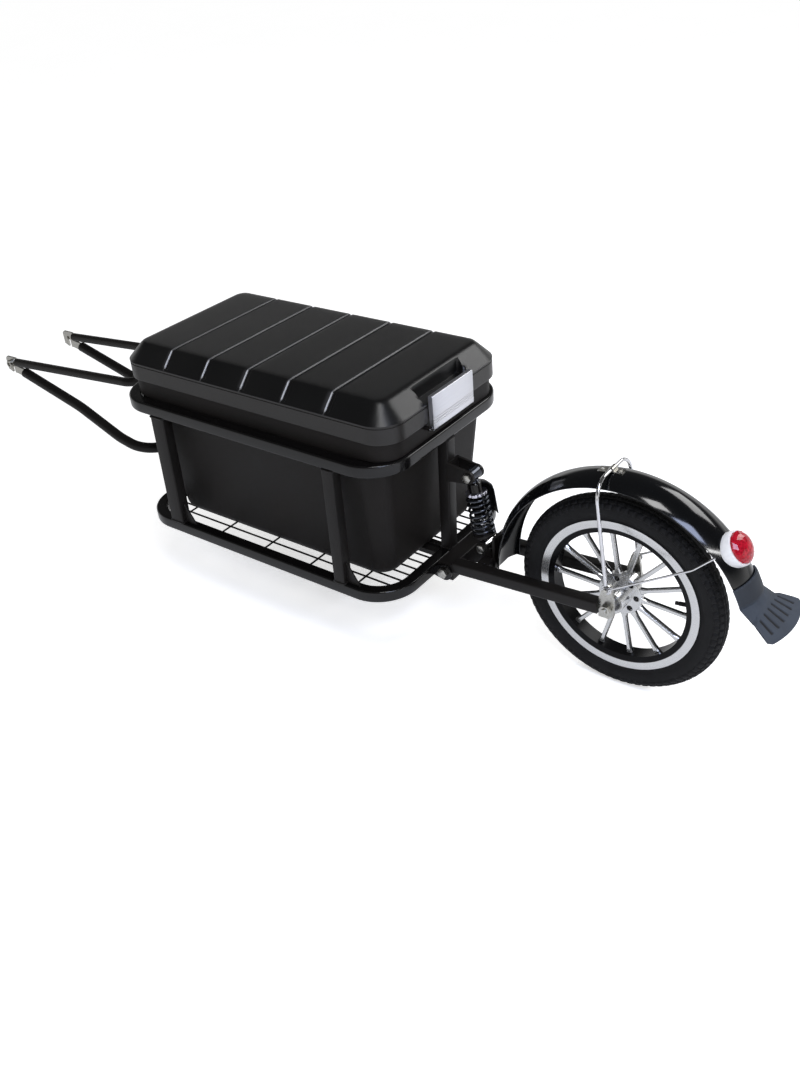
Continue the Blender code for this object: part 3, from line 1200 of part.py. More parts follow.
def wheel_fittings():
    """Valve, two bearings, the fixed axle and its nuts."""
    profile = [(0, 0), (VALVE_RADIUS + 0.002, 0), (VALVE_RADIUS + 0.002, 0.003), (VALVE_RADIUS, 0.006),
               (VALVE_RADIUS, VALVE_LENGTH - PLAY), (VALVE_RADIUS - PLAY, VALVE_LENGTH), (0, VALVE_LENGTH)]
    inward = AXLE - around_axle(1.0, VALVE_ANGLE)
    valve = turned("valve_stem", profile, around_axle(RIM_INNER_RADIUS - PLAY, VALVE_ANGLE), inward, 14,
                   closed=False)
    finish(valve, "tyre_rubber")
    inside = HUB_HALF_WIDTH - BEARING_WIDTH
    profile = [(AXLE_RADIUS + BUSH_PLAY, inside), (BEARING_RADIUS, inside), (BEARING_RADIUS, HUB_HALF_WIDTH),
               (AXLE_RADIUS + BUSH_PLAY, HUB_HALF_WIDTH)]
    for side_name, side in SIDES:
        bearing = turned("wheel_bearing_" + side_name, profile, AXLE, (0, side, 0), 21)
        finish(bearing, "bearing_steel")
    collar = HUB_HALF_WIDTH + GAP
    shoulder = DROPOUT_INNER - GAP
    end = DROPOUT_OUTER + 0.014
    half_profile = [(AXLE_RADIUS, collar), (AXLE_RADIUS + 0.003, collar), (AXLE_RADIUS + 0.003, shoulder),
                    (AXLE_END_RADIUS, shoulder), (AXLE_END_RADIUS, end), (0, end)]
    profile = [(radius, -along) for radius, along in reversed(half_profile)] + half_profile
    finish(turned("axle", profile, AXLE, (0, 1, 0), 16, closed=False), "zinc_steel")
    for side_name, side in SIDES:
        face = DROPOUT_OUTER + GAP
        nut = hexagon("axle_nut_" + side_name, AXLE + Vector((0, side * face, 0)),
                      AXLE + Vector((0, side * (face + 0.010), 0)), 0.011, AXLE_END_RADIUS + GAP)
        finish(nut, "zinc_steel")


alloy_wheel()
tyre()
wheel_fittings()


# The mudguard, its stays and the clamp on its crown

FENDER_ARC_RADIUS = (FENDER_HALF_WIDTH ** 2 + FENDER_CROWN ** 2) / (2 * FENDER_CROWN)
FENDER_ARC_HALF = math.asin(FENDER_HALF_WIDTH / FENDER_ARC_RADIUS)


def on_fender(angle, across, lift=0.0):
    """A point on the mudguard's outer face, or a lift above it.

    The angle runs from the rear upward, the other from the crown to the side.
    """
    section = FENDER_ARC_RADIUS + lift
    radius = FENDER_RADIUS - FENDER_ARC_RADIUS + section * math.cos(across)
    return FENDER_CENTRE + Vector((radius * math.cos(angle), section * math.sin(across),
                                   radius * math.sin(angle)))


def fender_profile(outer_lift, inner_lift, steps=8):
    """The mudguard's section between two offsets from its outer face."""
    middle = FENDER_RADIUS - FENDER_ARC_RADIUS
    turn = FENDER_ARC_HALF
    profile = arc((middle, 0), FENDER_ARC_RADIUS + outer_lift, -turn, turn, steps)
    return profile + arc((middle, 0), FENDER_ARC_RADIUS + inner_lift, turn, -turn, steps)


def crown_z(x, lift=0.0):
    """Height of the mudguard's crown at a station, or a lift above it."""
    run = x - FENDER_CENTRE.x
    return FENDER_CENTRE.z + math.sqrt((FENDER_RADIUS + lift) ** 2 - run ** 2)


fender = turned("fender", fender_profile(0, -FENDER_THICKNESS), FENDER_CENTRE, (0, -1, 0), 30,
                FENDER_END - FENDER_START, FENDER_START)
finish(fender, "gloss_black_paint")

STAY_EYE = AXLE + Vector((0, 0, STAY_EYE_RISE))
STAY_CROWN = Vector((AXLE.x + STAY_CROWN_X, 0, crown_z(AXLE.x + STAY_CROWN_X, STAY_RADIUS + GAP)))


def fender_stays():
    """The bent front stay over the crown, two thin rear stays and the bolts they share."""
    across = Vector((0, STAY_OFFSET, 0))
    foot = STAY_EYE + Vector((0, 0, STAY_EYE_RADIUS - 0.002))
    corners = [foot - across, STAY_CROWN - across, STAY_CROWN + across, foot + across]
    front = tube("fender_front_stay", rounded_path(corners, [0.034, 0.034], 7), STAY_RADIUS, 2)
    inner = DROPOUT_OUTER + GAP
    bore = STAY_BOLT_RADIUS + GAP
    thick = STAY_EYE_THICKNESS
    for side_name, side in SIDES:
        ring = [(bore, inner), (STAY_EYE_RADIUS, inner), (STAY_EYE_RADIUS, inner + thick), (bore, inner + thick)]
        boolean(front, turned("stay_eye", ring, STAY_EYE, (0, side, 0), 14), "UNION")
    finish(front, "chrome_steel")
    inner += thick + GAP
    rear_eye = STAY_EYE_RADIUS - 0.003
    thin = THIN_STAY_RADIUS
    for side_name, side in SIDES:
        ring = [(bore, inner), (rear_eye, inner), (rear_eye, inner + 1.5 * thin), (bore, inner + 1.5 * thin)]
        level = Vector((0, side * (inner + thin), 0))
        end = on_fender(math.radians(43.9), side * math.radians(42.3), 1.6 * thin)
        bend = AXLE + Vector((STAY_BEND_BEHIND, side * (STAY_OFFSET - STAY_BEND_INWARD), STAY_BEND_ABOVE))
        start = STAY_EYE + level + (bend - STAY_EYE - level).normalized() * (rear_eye - thin / 2)
        stay = tube("fender_rear_stay_" + side_name, rounded_path([start, bend, end], [0.020], 5), thin, 1)
        boolean(stay, turned("rear_eye", ring, STAY_EYE, (0, side, 0), 14), "UNION")
        finish(stay, "chrome_steel")
        head = inner + 2 * thin + GAP
        bolt = rod("stay_bolt_" + side_name, STAY_EYE + Vector((0, side * (DROPOUT_INNER - 0.003), 0)),
                   STAY_EYE + Vector((0, side * (head + 0.002), 0)), STAY_BOLT_RADIUS, 16)
        boolean(bolt, rod("bolt_head", STAY_EYE + Vector((0, side * head, 0)),
                          STAY_EYE + Vector((0, side * (head + 0.004), 0)), 0.0048, 6), "UNION")
        finish(bolt, "zinc_steel")


def stay_clamp():
    """A riveted strap that holds the front stay down on the crown."""
    thick = 0.0015
    middle = STAY_CROWN.x
    inner = STAY_RADIUS + GAP
    outer = inner + thick
    front = middle - 0.0255
    rear = middle + 0.0205
    centre = (middle, STAY_CROWN.z)
    under = [(x, crown_z(x, GAP)) for x in np.linspace(front, middle - inner, 3)]
    under += arc(centre, inner, math.pi, 0, 8)
    under += [(x, crown_z(x, GAP)) for x in np.linspace(middle + inner, rear, 3)]
    over = [(x, crown_z(x, GAP + thick)) for x in np.linspace(rear, middle + outer, 3)]
    over += arc(centre, outer, 0, math.pi, 8)
    over += [(x, crown_z(x, GAP + thick)) for x in np.linspace(middle - outer, front, 3)]
    made = upright_plate("stay_clamp", [under + over], 0.016, 0)
    for x in (front + 0.0065, rear - 0.0065):
        angle = math.acos((x - FENDER_CENTRE.x) / FENDER_RADIUS)
        head = rod("rivet", on_fender(angle, 0, thick), on_fender(angle, 0, thick + 0.0035), 0.0042, 12,
                   0.0030)
        boolean(made, head, "UNION")
    return finish(made, "zinc_steel")


def tail_light():
    """A light round housing shaped to the crown, and its faceted red lens."""
    place = on_fender(LIGHT_ANGLE, 0)
    out = Vector((math.cos(LIGHT_TILT), 0, math.sin(LIGHT_TILT)))
    rise = 0.010
    profile = [(0, -LIGHT_BASE_DEPTH), (LIGHT_RADIUS, -LIGHT_BASE_DEPTH), (LIGHT_RADIUS, rise - 0.0015),
               (LIGHT_RADIUS - 0.0015, rise), (0, rise)]
    housing = turned("tail_light_housing", profile, place, out, 24, closed=False)
    seat = turned("light_seat", fender_profile(GAP, -0.030), FENDER_CENTRE, (0, -1, 0), 10,
                  math.radians(40), LIGHT_ANGLE - math.radians(20))
    boolean(housing, seat)
    finish(housing, "light_plastic")
    base = rise + GAP
    profile = [(0, base), (LENS_RADIUS, base), (LENS_RADIUS, base + 0.004)]
    for turn in (30, 55, 75):
        share = math.radians(turn)
        profile.append((LENS_RADIUS * math.cos(share), base + 0.004 + (LENS_DEPTH - 0.004) * math.sin(share)))
    profile.append((0, base + LENS_DEPTH))
    finish(turned("tail_light_lens", profile, place, out, 16, closed=False), "red_lens")


def mud_flap():
    """A rubber collar round the mudguard's end that spreads into a ribbed flap.

    The middle surface is a grid of sections; its two faces stand half a thickness away.
    """
    half = FLAP_THICKNESS / 2
    collar = half + 3 * GAP
    sections = []
    count = 11
    spread = np.linspace(-1, 1, count)
    for angle in (29.0, 26.0, 23.0, 20.5):
        turns = spread * (FENDER_ARC_HALF + math.radians(2))
        sections.append([on_fender(math.radians(angle), turn, collar) for turn in turns])
    root = on_fender(math.radians(19.0), 0, collar)
    heading = Vector((math.cos(FLAP_SLOPE), 0, math.sin(FLAP_SLOPE)))
    for reach, half_width, drop, bow in ((0.006, 0.048, 0.0130, 0.0), (0.014, 0.053, 0.0100, 0.001),
                                         (0.030, 0.060, 0.0085, 0.004), (0.046, 0.066, 0.0075, 0.009),
                                         (0.060, 0.069, 0.0070, 0.016), (FLAP_LENGTH, 0.062, 0.0065, 0.014)):
        row = []
        for share in spread:
            along = heading * (reach - bow * share ** 2)
            row.append(root + along + Vector((0, half_width * share, -drop * share ** 2)))
        sections.append(row)
    grid = np.array([[tuple(point) for point in row] for row in sections])
    normal = np.cross(np.gradient(grid, axis=0), np.gradient(grid, axis=1))
    normal /= np.linalg.norm(normal, axis=2, keepdims=True)
    shape = bmesh.new()
    sheets = []
    for offset in (half, -half):
        sheets.append([[shape.verts.new(point) for point in row] for row in grid + normal * offset])
    rows = len(sections)
    for sheet in sheets:
        for i in range(rows - 1):
            for j in range(count - 1):
                shape.faces.new((sheet[i][j], sheet[i][j + 1], sheet[i + 1][j + 1], sheet[i + 1][j]))
    border = [(0, j) for j in range(count)] + [(i, count - 1) for i in range(1, rows)]
    border += [(rows - 1, j) for j in range(count - 2, -1, -1)] + [(i, 0) for i in range(rows - 2, 0, -1)]
    for (i, j), (k, m) in zip(border, border[1:] + border[:1]):
        shape.faces.new((sheets[0][i][j], sheets[0][k][m], sheets[1][k][m], sheets[1][i][j]))
    made = add_object("mud_flap", mesh_from(shape, "mud_flap"))
    grooves = []
    for share in (-0.72, -0.43, -0.14, 0.14, 0.43, 0.72):
        column = round((share + 1) / 2 * (count - 1))
        start = Vector(grid[6][column]) + Vector(normal[6][column]) * (half + 0.0008)
        end = Vector(grid[8][column]) + Vector(normal[8][column]) * (half + 0.0008)
        grooves.append(rod("groove", start, end, 0.0018, 6))
    boolean(made, joined("flap_grooves", grooves))
    return finish(made, "slate_rubber")


fender_stays()
stay_clamp()
tail_light()
mud_flap()
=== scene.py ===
"""Looks of a folding single-wheel bicycle trailer with a lidded box and a sprung wheel arm.

The origin is the middle of the bicycle's rear axle. +X runs to the rear, -Y is the near
side, +Z is up, and all sizes are in metres.
"""
import math

import bmesh
import bpy
import numpy as np
from mathutils import Matrix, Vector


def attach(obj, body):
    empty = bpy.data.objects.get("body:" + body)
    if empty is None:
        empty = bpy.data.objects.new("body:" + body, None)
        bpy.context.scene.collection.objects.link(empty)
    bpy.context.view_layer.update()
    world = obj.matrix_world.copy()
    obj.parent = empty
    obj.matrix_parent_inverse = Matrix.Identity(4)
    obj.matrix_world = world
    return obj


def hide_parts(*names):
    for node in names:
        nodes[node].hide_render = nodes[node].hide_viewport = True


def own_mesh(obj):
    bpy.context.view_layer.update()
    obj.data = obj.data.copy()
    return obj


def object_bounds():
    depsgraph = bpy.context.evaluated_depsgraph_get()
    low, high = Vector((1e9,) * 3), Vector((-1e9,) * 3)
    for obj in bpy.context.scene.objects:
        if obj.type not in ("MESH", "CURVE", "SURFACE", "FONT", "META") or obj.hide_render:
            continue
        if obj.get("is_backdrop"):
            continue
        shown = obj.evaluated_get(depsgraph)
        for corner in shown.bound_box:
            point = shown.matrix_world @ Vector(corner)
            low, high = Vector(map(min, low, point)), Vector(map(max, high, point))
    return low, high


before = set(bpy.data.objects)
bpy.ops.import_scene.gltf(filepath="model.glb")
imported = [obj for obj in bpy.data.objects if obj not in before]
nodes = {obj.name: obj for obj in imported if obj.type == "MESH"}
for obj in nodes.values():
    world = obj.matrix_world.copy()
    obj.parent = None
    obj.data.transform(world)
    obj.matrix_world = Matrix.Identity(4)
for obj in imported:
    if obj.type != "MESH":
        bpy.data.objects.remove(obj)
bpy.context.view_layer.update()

# The two loops of the basket: 25 mm square steel tube bent to round corners, closed by a
# weld, and sprayed with a gloss black powder coat. The lower one carries two ears for the
# wheel arm's pivot bolt.


def unit(vectors):
    """Each vector divided by its own length."""
    vectors = np.asarray(vectors, float)
    return vectors / np.maximum(np.linalg.norm(vectors, axis=-1, keepdims=True), 1e-12)


def linear(colour):
    """An sRGB hex colour as linear red, green, blue and 1."""
    srgb = np.array([int(colour[i:i + 2], 16) for i in (1, 3, 5)]) / 255
    light = np.where(srgb <= 0.04045, srgb / 12.92, ((srgb + 0.055) / 1.055) ** 2.4)
    return (*light.tolist(), 1.0)


def node(tree, kind, output, inputs=None, **settings):
    """Adds a shader node with its settings, values and links, and returns one of its outputs."""
    made = tree.nodes.new("ShaderNode" + kind)
    for name, value in settings.items():
        setattr(made, name, value)
    for name, value in (inputs or {}).items():
        if isinstance(value, bpy.types.NodeSocket):
            tree.links.new(value, made.inputs[name])
        else:
            made.inputs[name].default_value = value
    return made.outputs[output]


def finish(name, colour, roughness, metallic=0.0, specular=0.5):
    """A material, its tree, its Principled shader, and the object coordinates for its patterns."""
    material = bpy.data.materials.new(name)
    material.use_nodes = True
    tree = material.node_tree
    shader = tree.nodes["Principled BSDF"]
    shader.inputs["Base Color"].default_value = linear(colour)
    shader.inputs["Roughness"].default_value = roughness
    shader.inputs["Metallic"].default_value = metallic
    shader.inputs["Specular IOR Level"].default_value = specular
    return material, tree, shader, node(tree, "TexCoord", "Object")


def vary(tree, shader, colour=None, roughness=None, relief=None):
    """Lets patterns move a shader's colour, its roughness and the height of its surface.

    Colour and roughness are a pattern and what it moves between, and relief is a pattern,
    a strength and a height.
    """
    if colour:
        pattern, *shades = colour
        low, high = (linear(shade) if isinstance(shade, str) else shade for shade in shades)
        mixed = node(tree, "Mix", 2, {0: pattern, 6: low, 7: high}, data_type="RGBA")
        tree.links.new(mixed, shader.inputs["Base Color"])
    if roughness:
        pattern, low, high = roughness
        dull = node(tree, "MapRange", "Result", {"Value": pattern, "To Min": low, "To Max": high})
        tree.links.new(dull, shader.inputs["Roughness"])
    if relief:
        pattern, strength, height = relief
        raised = node(tree, "Bump", "Normal",
                      {"Height": pattern, "Strength": strength, "Distance": height})
        tree.links.new(raised, shader.inputs["Normal"])


def bent_line(corners, radii, steps=12, closed=False):
    """Straight runs between corners, each corner replaced by an arc of its own radius.

    The arc's centre lies on the corner's bisector, and its points are the spherical blend
    of the two arms from that centre to where the runs touch the arc.
    """
    corners = np.asarray(corners, float)
    back = unit(np.roll(corners, 1, 0) - corners)
    ahead = unit(np.roll(corners, -1, 0) - corners)
    half = np.arccos(np.clip((back * ahead).sum(-1), -0.999999, 0.999999))[:, None] / 2
    radius = np.broadcast_to(np.asarray(radii, float), (len(corners),))[:, None]
    centre = corners + unit(back + ahead) * radius / np.sin(half)
    first = corners + back * radius / np.tan(half) - centre
    last = corners + ahead * radius / np.tan(half) - centre
    opening = (math.pi - 2 * half)[:, None]
    share = np.linspace(0, 1, steps + 1)[None, :, None]
    arms = first[:, None] * np.sin((1 - share) * opening) + last[:, None] * np.sin(share * opening)
    path = centre[:, None] + arms / np.sin(opening)
    if closed:
        return path.reshape(-1, corners.shape[1])
    return np.vstack([corners[:1], path[1:-1].reshape(-1, corners.shape[1]), corners[-1:]])


def rounded_rectangle(half_x, half_y, radius, steps=6):
    """Outline of a rectangle whose four corners are quarter circles, anticlockwise."""
    corners = [(half_x, -half_y), (half_x, half_y), (-half_x, half_y), (-half_x, -half_y)]
    return bent_line(corners, radius, steps, closed=True)


def arc(centre, radius, start, end, steps):
    """Points along an arc of a circle, with its angles in degrees."""
    turn = np.radians(np.linspace(start, end, steps + 1))
    return np.stack([centre[0] + radius * np.cos(turn), centre[1] + radius * np.sin(turn)], -1)


def dense(outline, share=6):
    """An outline with each edge cut into equal shares, its corners kept."""
    outline = np.asarray(outline, float)
    part = np.linspace(0, 1, share, endpoint=False)[None, :, None]
    ahead = np.roll(outline, -1, 0)
    return (outline[:, None] * (1 - part) + ahead[:, None] * part).reshape(-1, 2)


def lift(outline, axis, height):
    """Points of an outline put in the plane square to an axis, at a height along it."""
    return np.insert(outline, axis, height, axis=1)


def skin(points, round_rows=False, round_columns=False, capped=False):
    """Quads between the neighbours of a grid of points, wrapped or capped where asked.

    A cap joins each point of an end ring to the one opposite it, strip by strip.
    """
    points = np.asarray(points, float)
    rows, columns = points.shape[:2]
    number = np.arange(rows * columns).reshape(rows, columns)
    if round_rows:
        number = np.vstack([number, number[:1]])
    if round_columns:
        number = np.hstack([number, number[:, :1]])
    quads = np.stack([number[:-1, :-1], number[1:, :-1], number[1:, 1:], number[:-1, 1:]], -1)
    quads = quads.reshape(-1, 4)
    if capped:
        step = np.arange(columns // 2 - 1)
        cap = np.stack([step, step + 1, columns - 2 - step, columns - 1 - step], -1)
        quads = np.vstack([quads, cap, cap + (rows - 1) * columns])
    return points.reshape(-1, 3), quads


def sweep(path, section, reference, closed=False):
    """A section carried along a path, its width square to the path and to a fixed reference."""
    path = np.asarray(path, float)
    if closed:
        step = unit(np.roll(path, -1, 0) - path)
        tangent = unit(step + np.roll(step, 1, 0))
    else:
        step = unit(np.diff(path, axis=0))
        tangent = unit(np.vstack([step[:1], step[:-1] + step[1:], step[-1:]]))
    side = unit(np.cross(tangent, reference))
    up = np.cross(side, tangent)
    section = np.broadcast_to(section, (len(path),) + np.shape(section)[-2:])
    rings = path[:, None] + section[..., :1] * side[:, None] + section[..., 1:] * up[:, None]
    return skin(rings, closed, True, not closed)


def drilled_plate(outline, centre, hole, axis, low, high, edge=0.0006):
    """A flat plate with one hole: each outline point has a hole point at its own bearing.

    The rings run from the hole over the lower face, round the broken outer edge, and back
    over the upper face, and the last ring joins the first inside the hole.
    """
    away = np.asarray(outline, float) - centre
    reach = np.linalg.norm(away, axis=1, keepdims=True)
    rim = centre + away / reach * hole
    inset = centre + away * (1 - edge / reach)
    rings = [lift(rim, axis, low), lift(inset, axis, low), lift(outline, axis, low + edge),
             lift(outline, axis, high - edge), lift(inset, axis, high), lift(rim, axis, high)]
    return skin(rings, True, True)


def piece(name, skins, material, body, replaced=(), crease=32, marks=()):
    """One object from skins: doubles merged, faces outward, smooth up to the crease angle.

    A mark is a name and one value for each point, kept as an attribute for the material.
    """
    starts = np.cumsum([0] + [len(points) for points, quads in skins[:-1]])
    quads = np.vstack([quads + start for (points, quads), start in zip(skins, starts)])
    mesh = bpy.data.meshes.new(name)
    mesh.from_pydata(np.vstack([points for points, quads in skins]), [], quads.tolist())
    for mark, values in marks:
        attribute = mesh.attributes.new(mark, "FLOAT", "POINT")
        attribute.data.foreach_set("value", np.asarray(values, np.float32))
    shape = bmesh.new()
    shape.from_mesh(mesh)
    bmesh.ops.remove_doubles(shape, verts=shape.verts, dist=0.000002)
    bmesh.ops.recalc_face_normals(shape, faces=shape.faces)
    shape.to_mesh(mesh)
    shape.free()
    mesh.shade_smooth()
    mesh.set_sharp_from_angle(angle=math.radians(crease))
    mesh.materials.append(material)
    made = bpy.data.objects.new(name, mesh)
    bpy.context.scene.collection.objects.link(made)
    if replaced:
        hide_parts(*replaced)
    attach(made, body)
    return made


# Gloss powder coat: the eye gets a deep black with sharp highlights that a faint orange
# peel of about 2.5 mm breaks up, and a few duller patches.
gloss_coat, tree, shader, place = finish("gloss_black_powder_coat", "#0b0a0a", 0.12, specular=0.40)
peel = node(tree, "TexNoise", "Fac", {"Vector": place, "Scale": 1 / 0.0025, "Detail": 1.0})
cloud = node(tree, "TexNoise", "Fac", {"Vector": place, "Scale": 1 / 0.060, "Detail": 3.0})
patches = node(tree, "MapRange", "Result", {"Value": cloud, "From Min": 0.35, "From Max": 0.75})
vary(tree, shader, roughness=(patches, 0.09, 0.20), relief=(peel, 0.12, 0.0002))

TUBE, TUBE_EDGE, BEND = 0.025, 0.0042, 0.0725
TUBE_SECTION = rounded_rectangle(TUBE / 2, TUBE / 2, TUBE_EDGE)
LOOPS_MIDDLE = 0.8995
TOP_LOOP_X, TOP_LOOP_Y, TOP_LOOP_Z = 0.3555, 0.210, 0.0735
BOTTOM_LOOP_X, BOTTOM_LOOP_Y, BOTTOM_LOOP_Z = 0.3475, 0.215, -0.1995
PIVOT_X, PIVOT_Z, PIVOT_CLEARANCE = 1.270, -0.196, 0.0063
EAR_ROUND, EAR_ROOT, EAR_Y, EAR_HALF = 0.018, 1.24625, 0.0711, 0.003


def loop_tube(half_x, half_y, middle_z):
    """The tube's square section carried round a rounded rectangle of its centre line."""
    path = rounded_rectangle(half_x - TUBE / 2, half_y - TUBE / 2, BEND, 20) + (LOOPS_MIDDLE, 0)
    return sweep(lift(path, 2, middle_z), TUBE_SECTION, (0, 0, 1), closed=True)


ear = dense(np.vstack([arc((PIVOT_X, PIVOT_Z), EAR_ROUND, -90, 90, 12),
                       [(EAR_ROOT, -0.1888), (EAR_ROOT, -0.209)]]), 3)
ears = [drilled_plate(ear, (PIVOT_X, PIVOT_Z), PIVOT_CLEARANCE, 1, y - EAR_HALF, y + EAR_HALF)
        for y in (-EAR_Y, EAR_Y)]
piece("top_loop_tube", [loop_tube(TOP_LOOP_X, TOP_LOOP_Y, TOP_LOOP_Z)],
      gloss_coat, "frame", ["top_loop"])
piece("bottom_loop_tube", [loop_tube(BOTTOM_LOOP_X, BOTTOM_LOOP_Y, BOTTOM_LOOP_Z)] + ears,
      gloss_coat, "frame", ["bottom_loop"])

# The uprights, posts and floor beam: straight steel tubes set between the loops, with
# triangular foot gussets, all welded and coated in a satin black powder coat.

# Satin powder coat: the eye gets a slightly brown black with soft broad highlights, and
# a texture of about 1 mm, drawn a little coarser than the real 0.5 mm so that it shows.
satin_coat, tree, shader, place = finish("satin_black_powder_coat", "#131110", 0.40, specular=0.26)
speck = node(tree, "TexNoise", "Fac", {"Vector": place, "Scale": 1 / 0.001, "Detail": 2.0})
cloud = node(tree, "TexNoise", "Fac", {"Vector": place, "Scale": 1 / 0.080, "Detail": 3.0})
vary(tree, shader, colour=(cloud, "#0c0b0b", "#1b1816"), roughness=(speck, 0.34, 0.52),
     relief=(speck, 0.20, 0.0002))

SIDES = (("near", -1), ("far", 1))
POST_LOW, POST_HIGH, POST_EDGE = -0.1867, 0.0607, 0.003
SIDE_FOOT_Y, SIDE_HEAD_Y = 0.2025, 0.1975
BEAD_RISE = 0.0008
GUSSET_REACH, GUSSET_TIP, GUSSET_RISE, GUSSET_HALF, GUSSET_SINK = 0.030, 0.003, 0.045, 0.002, 0.001
HEAD_X, LUG_ROUND, LUG_THICK, LUG_EDGE = 0.494, 0.018, 0.008, 0.001
BEAM_FRONT, BEAM_REAR, BEAM_Z = 0.5773, 1.2217, -0.205


def ring(radius, count):
    """Points evenly round a circle."""
    turn = np.arange(count) * math.tau / count
    return np.stack([radius * np.cos(turn), radius * np.sin(turn)], -1)


def weld(middle, width, height):
    """A bead of about 2 mm radius round a tube's end, rippling every 4 mm or so."""
    path = rounded_rectangle(width / 2, TUBE / 2, POST_EDGE, 10) + middle
    path = lift(dense(path, 2), 2, height)
    radius = 0.0021 + 0.0003 * np.sin(np.arange(len(path)) * 1.3)
    section = ring(1, 8)[None] * radius[:, None, None]
    return sweep(path, section, (0, 0, 1), closed=True)


def welded_post(foot, head, width=TUBE):
    """A tube's section moved evenly from its foot to its head, and a bead round each end."""
    outline = rounded_rectangle(width / 2, TUBE / 2, POST_EDGE, 4)
    rings = [lift(outline + foot, 2, POST_LOW), lift(outline + head, 2, POST_HIGH)]
    return [skin(rings, False, True, True), weld(foot, width, POST_LOW + BEAD_RISE),
            weld(head, width, POST_HIGH - BEAD_RISE)]


def slab(outline, axis, low, high, edge=0.0006):
    """A flat plate without a hole, its outer edges broken towards its middle."""
    outline = np.asarray(outline, float)
    away = outline - outline.mean(0)
    inset = outline - away / np.linalg.norm(away, axis=1, keepdims=True) * edge
    rings = [lift(inset, axis, low), lift(outline, axis, low + edge),
             lift(outline, axis, high - edge), lift(inset, axis, high)]
    return skin(rings, False, True, True)


for side_name, side in SIDES:
    for end_name, x, width in (("front", 0.671, 0.036), ("rear", 1.123, 0.026)):
        foot_y, root = side * SIDE_FOOT_Y, x + width / 2
        gusset = dense([(root - GUSSET_SINK, POST_LOW), (root + GUSSET_REACH, POST_LOW),
                        (root + GUSSET_TIP, POST_LOW + GUSSET_RISE),
                        (root - GUSSET_SINK, POST_LOW + GUSSET_RISE)], 4)
        skins = welded_post((x, foot_y), (x, side * SIDE_HEAD_Y), width)
        skins.append(slab(gusset, 1, foot_y - GUSSET_HALF, foot_y + GUSSET_HALF))
        name = f"upright_{side_name}_{end_name}"
        piece(name + "_tube", skins, satin_coat, "frame", [name])
piece("rear_post_tube", welded_post((1.2345, 0), (1.2425, 0)), satin_coat, "frame",
      ["rear_post"])

front = welded_post((0.5645, 0), (0.5565, 0))
for low, root in ((-0.1763, 0.5525), (0.0483, 0.5455)):
    lug = np.vstack([arc((HEAD_X, 0), LUG_ROUND, 90, 270, 20),
                     [(root, -LUG_ROUND), (root, LUG_ROUND)]])
    front.append(drilled_plate(dense(lug, 2), (HEAD_X, 0), PIVOT_CLEARANCE, 2, low,
                               low + LUG_THICK, LUG_EDGE))
piece("front_post_tube", front, satin_coat, "frame", ["front_post"])
beam = sweep([(BEAM_FRONT, 0, BEAM_Z), (BEAM_REAR, 0, BEAM_Z)],
             rounded_rectangle(0.019, 0.007, POST_EDGE, 4), (0, 0, 1))
piece("floor_beam_tube", [beam], satin_coat, "frame", ["floor_beam"])

# The floor of the basket: a mesh of 4 mm steel wires with the same satin coat, all in one
# plane and welded where they cross.

WIRE, LONG_STEP, CROSS_STEP = 0.0020, 0.023, 0.123
LONG_Z, CROSS_Z, CROSS_REACH = -0.1957, -0.1960, 0.1897
INNER_X, INNER_CORNER, INNER_FLAT_Y, WIRE_GAP = 0.3222, 0.060, 0.1300, 0.0004


def floor_wires():
    """Straight round wires, the long ones as far as the loop's inner outline lets them reach."""
    runs = []
    for y in LONG_STEP * np.arange(-7, 8):
        into_corner = max(abs(y) + WIRE - INNER_FLAT_Y, 0.0)
        reach = (INNER_X - INNER_CORNER - WIRE_GAP
                 + math.sqrt(max(INNER_CORNER ** 2 - into_corner ** 2, 0)))
        runs.append([(LOOPS_MIDDLE - reach, y, LONG_Z), (LOOPS_MIDDLE + reach, y, LONG_Z)])
    for x in LOOPS_MIDDLE + CROSS_STEP * np.arange(-2, 3):
        runs.append([(x, -CROSS_REACH, CROSS_Z), (x, CROSS_REACH, CROSS_Z)])
    return [sweep(run, ring(WIRE, 10), (0, 0, 1)) for run in runs]


piece("floor_mesh_wires", floor_wires(), satin_coat, "frame", ["floor_mesh"])

# The steering head: a turned steel king pin with a hexagon head, dropped through the two
# lugs and the yoke's upright tube, which runs on a bronze bush. The pin is zinc plated.

# Zinc plating: the eye gets a bright, slightly warm grey metal with faint clouds of 6 mm
# that blur its highlights.
zinc, tree, shader, place = finish("bright_zinc_plated_steel", "#b9b7b0", 0.28, 1.0)
cloud = node(tree, "TexNoise", "Fac", {"Vector": place, "Scale": 1 / 0.006, "Detail": 3.0})
vary(tree, shader, colour=(cloud, "#a5a39d", "#cbcac4"), roughness=(cloud, 0.20, 0.38))

# Sintered bronze: the eye gets a dull brown metal with small pores.
bronze, tree, shader, place = finish("sintered_bronze", "#8a6433", 0.42, 1.0)
pores = node(tree, "TexNoise", "Fac", {"Vector": place, "Scale": 1 / 0.0008, "Detail": 2.0})
vary(tree, shader, colour=(pores, "#6d4c26", "#a87b42"))


def placed(centre, axis, angles, reach, along):
    """Places round an axis.

    Each is the centre, plus the distance along the axis, plus the reach times the cosine
    and sine of the angle along two directions square to the axis.
    """
    axis = unit(axis)
    first = unit(np.cross((0, 1, 0) if abs(axis[1]) < 0.9 else (0, 0, 1), axis))
    second = np.cross(axis, first)
    around = np.cos(angles)[..., None] * first + np.sin(angles)[..., None] * second
    reach, along = np.asarray(reach)[..., None], np.asarray(along)[..., None]
    return np.asarray(centre) + around * reach + axis * along


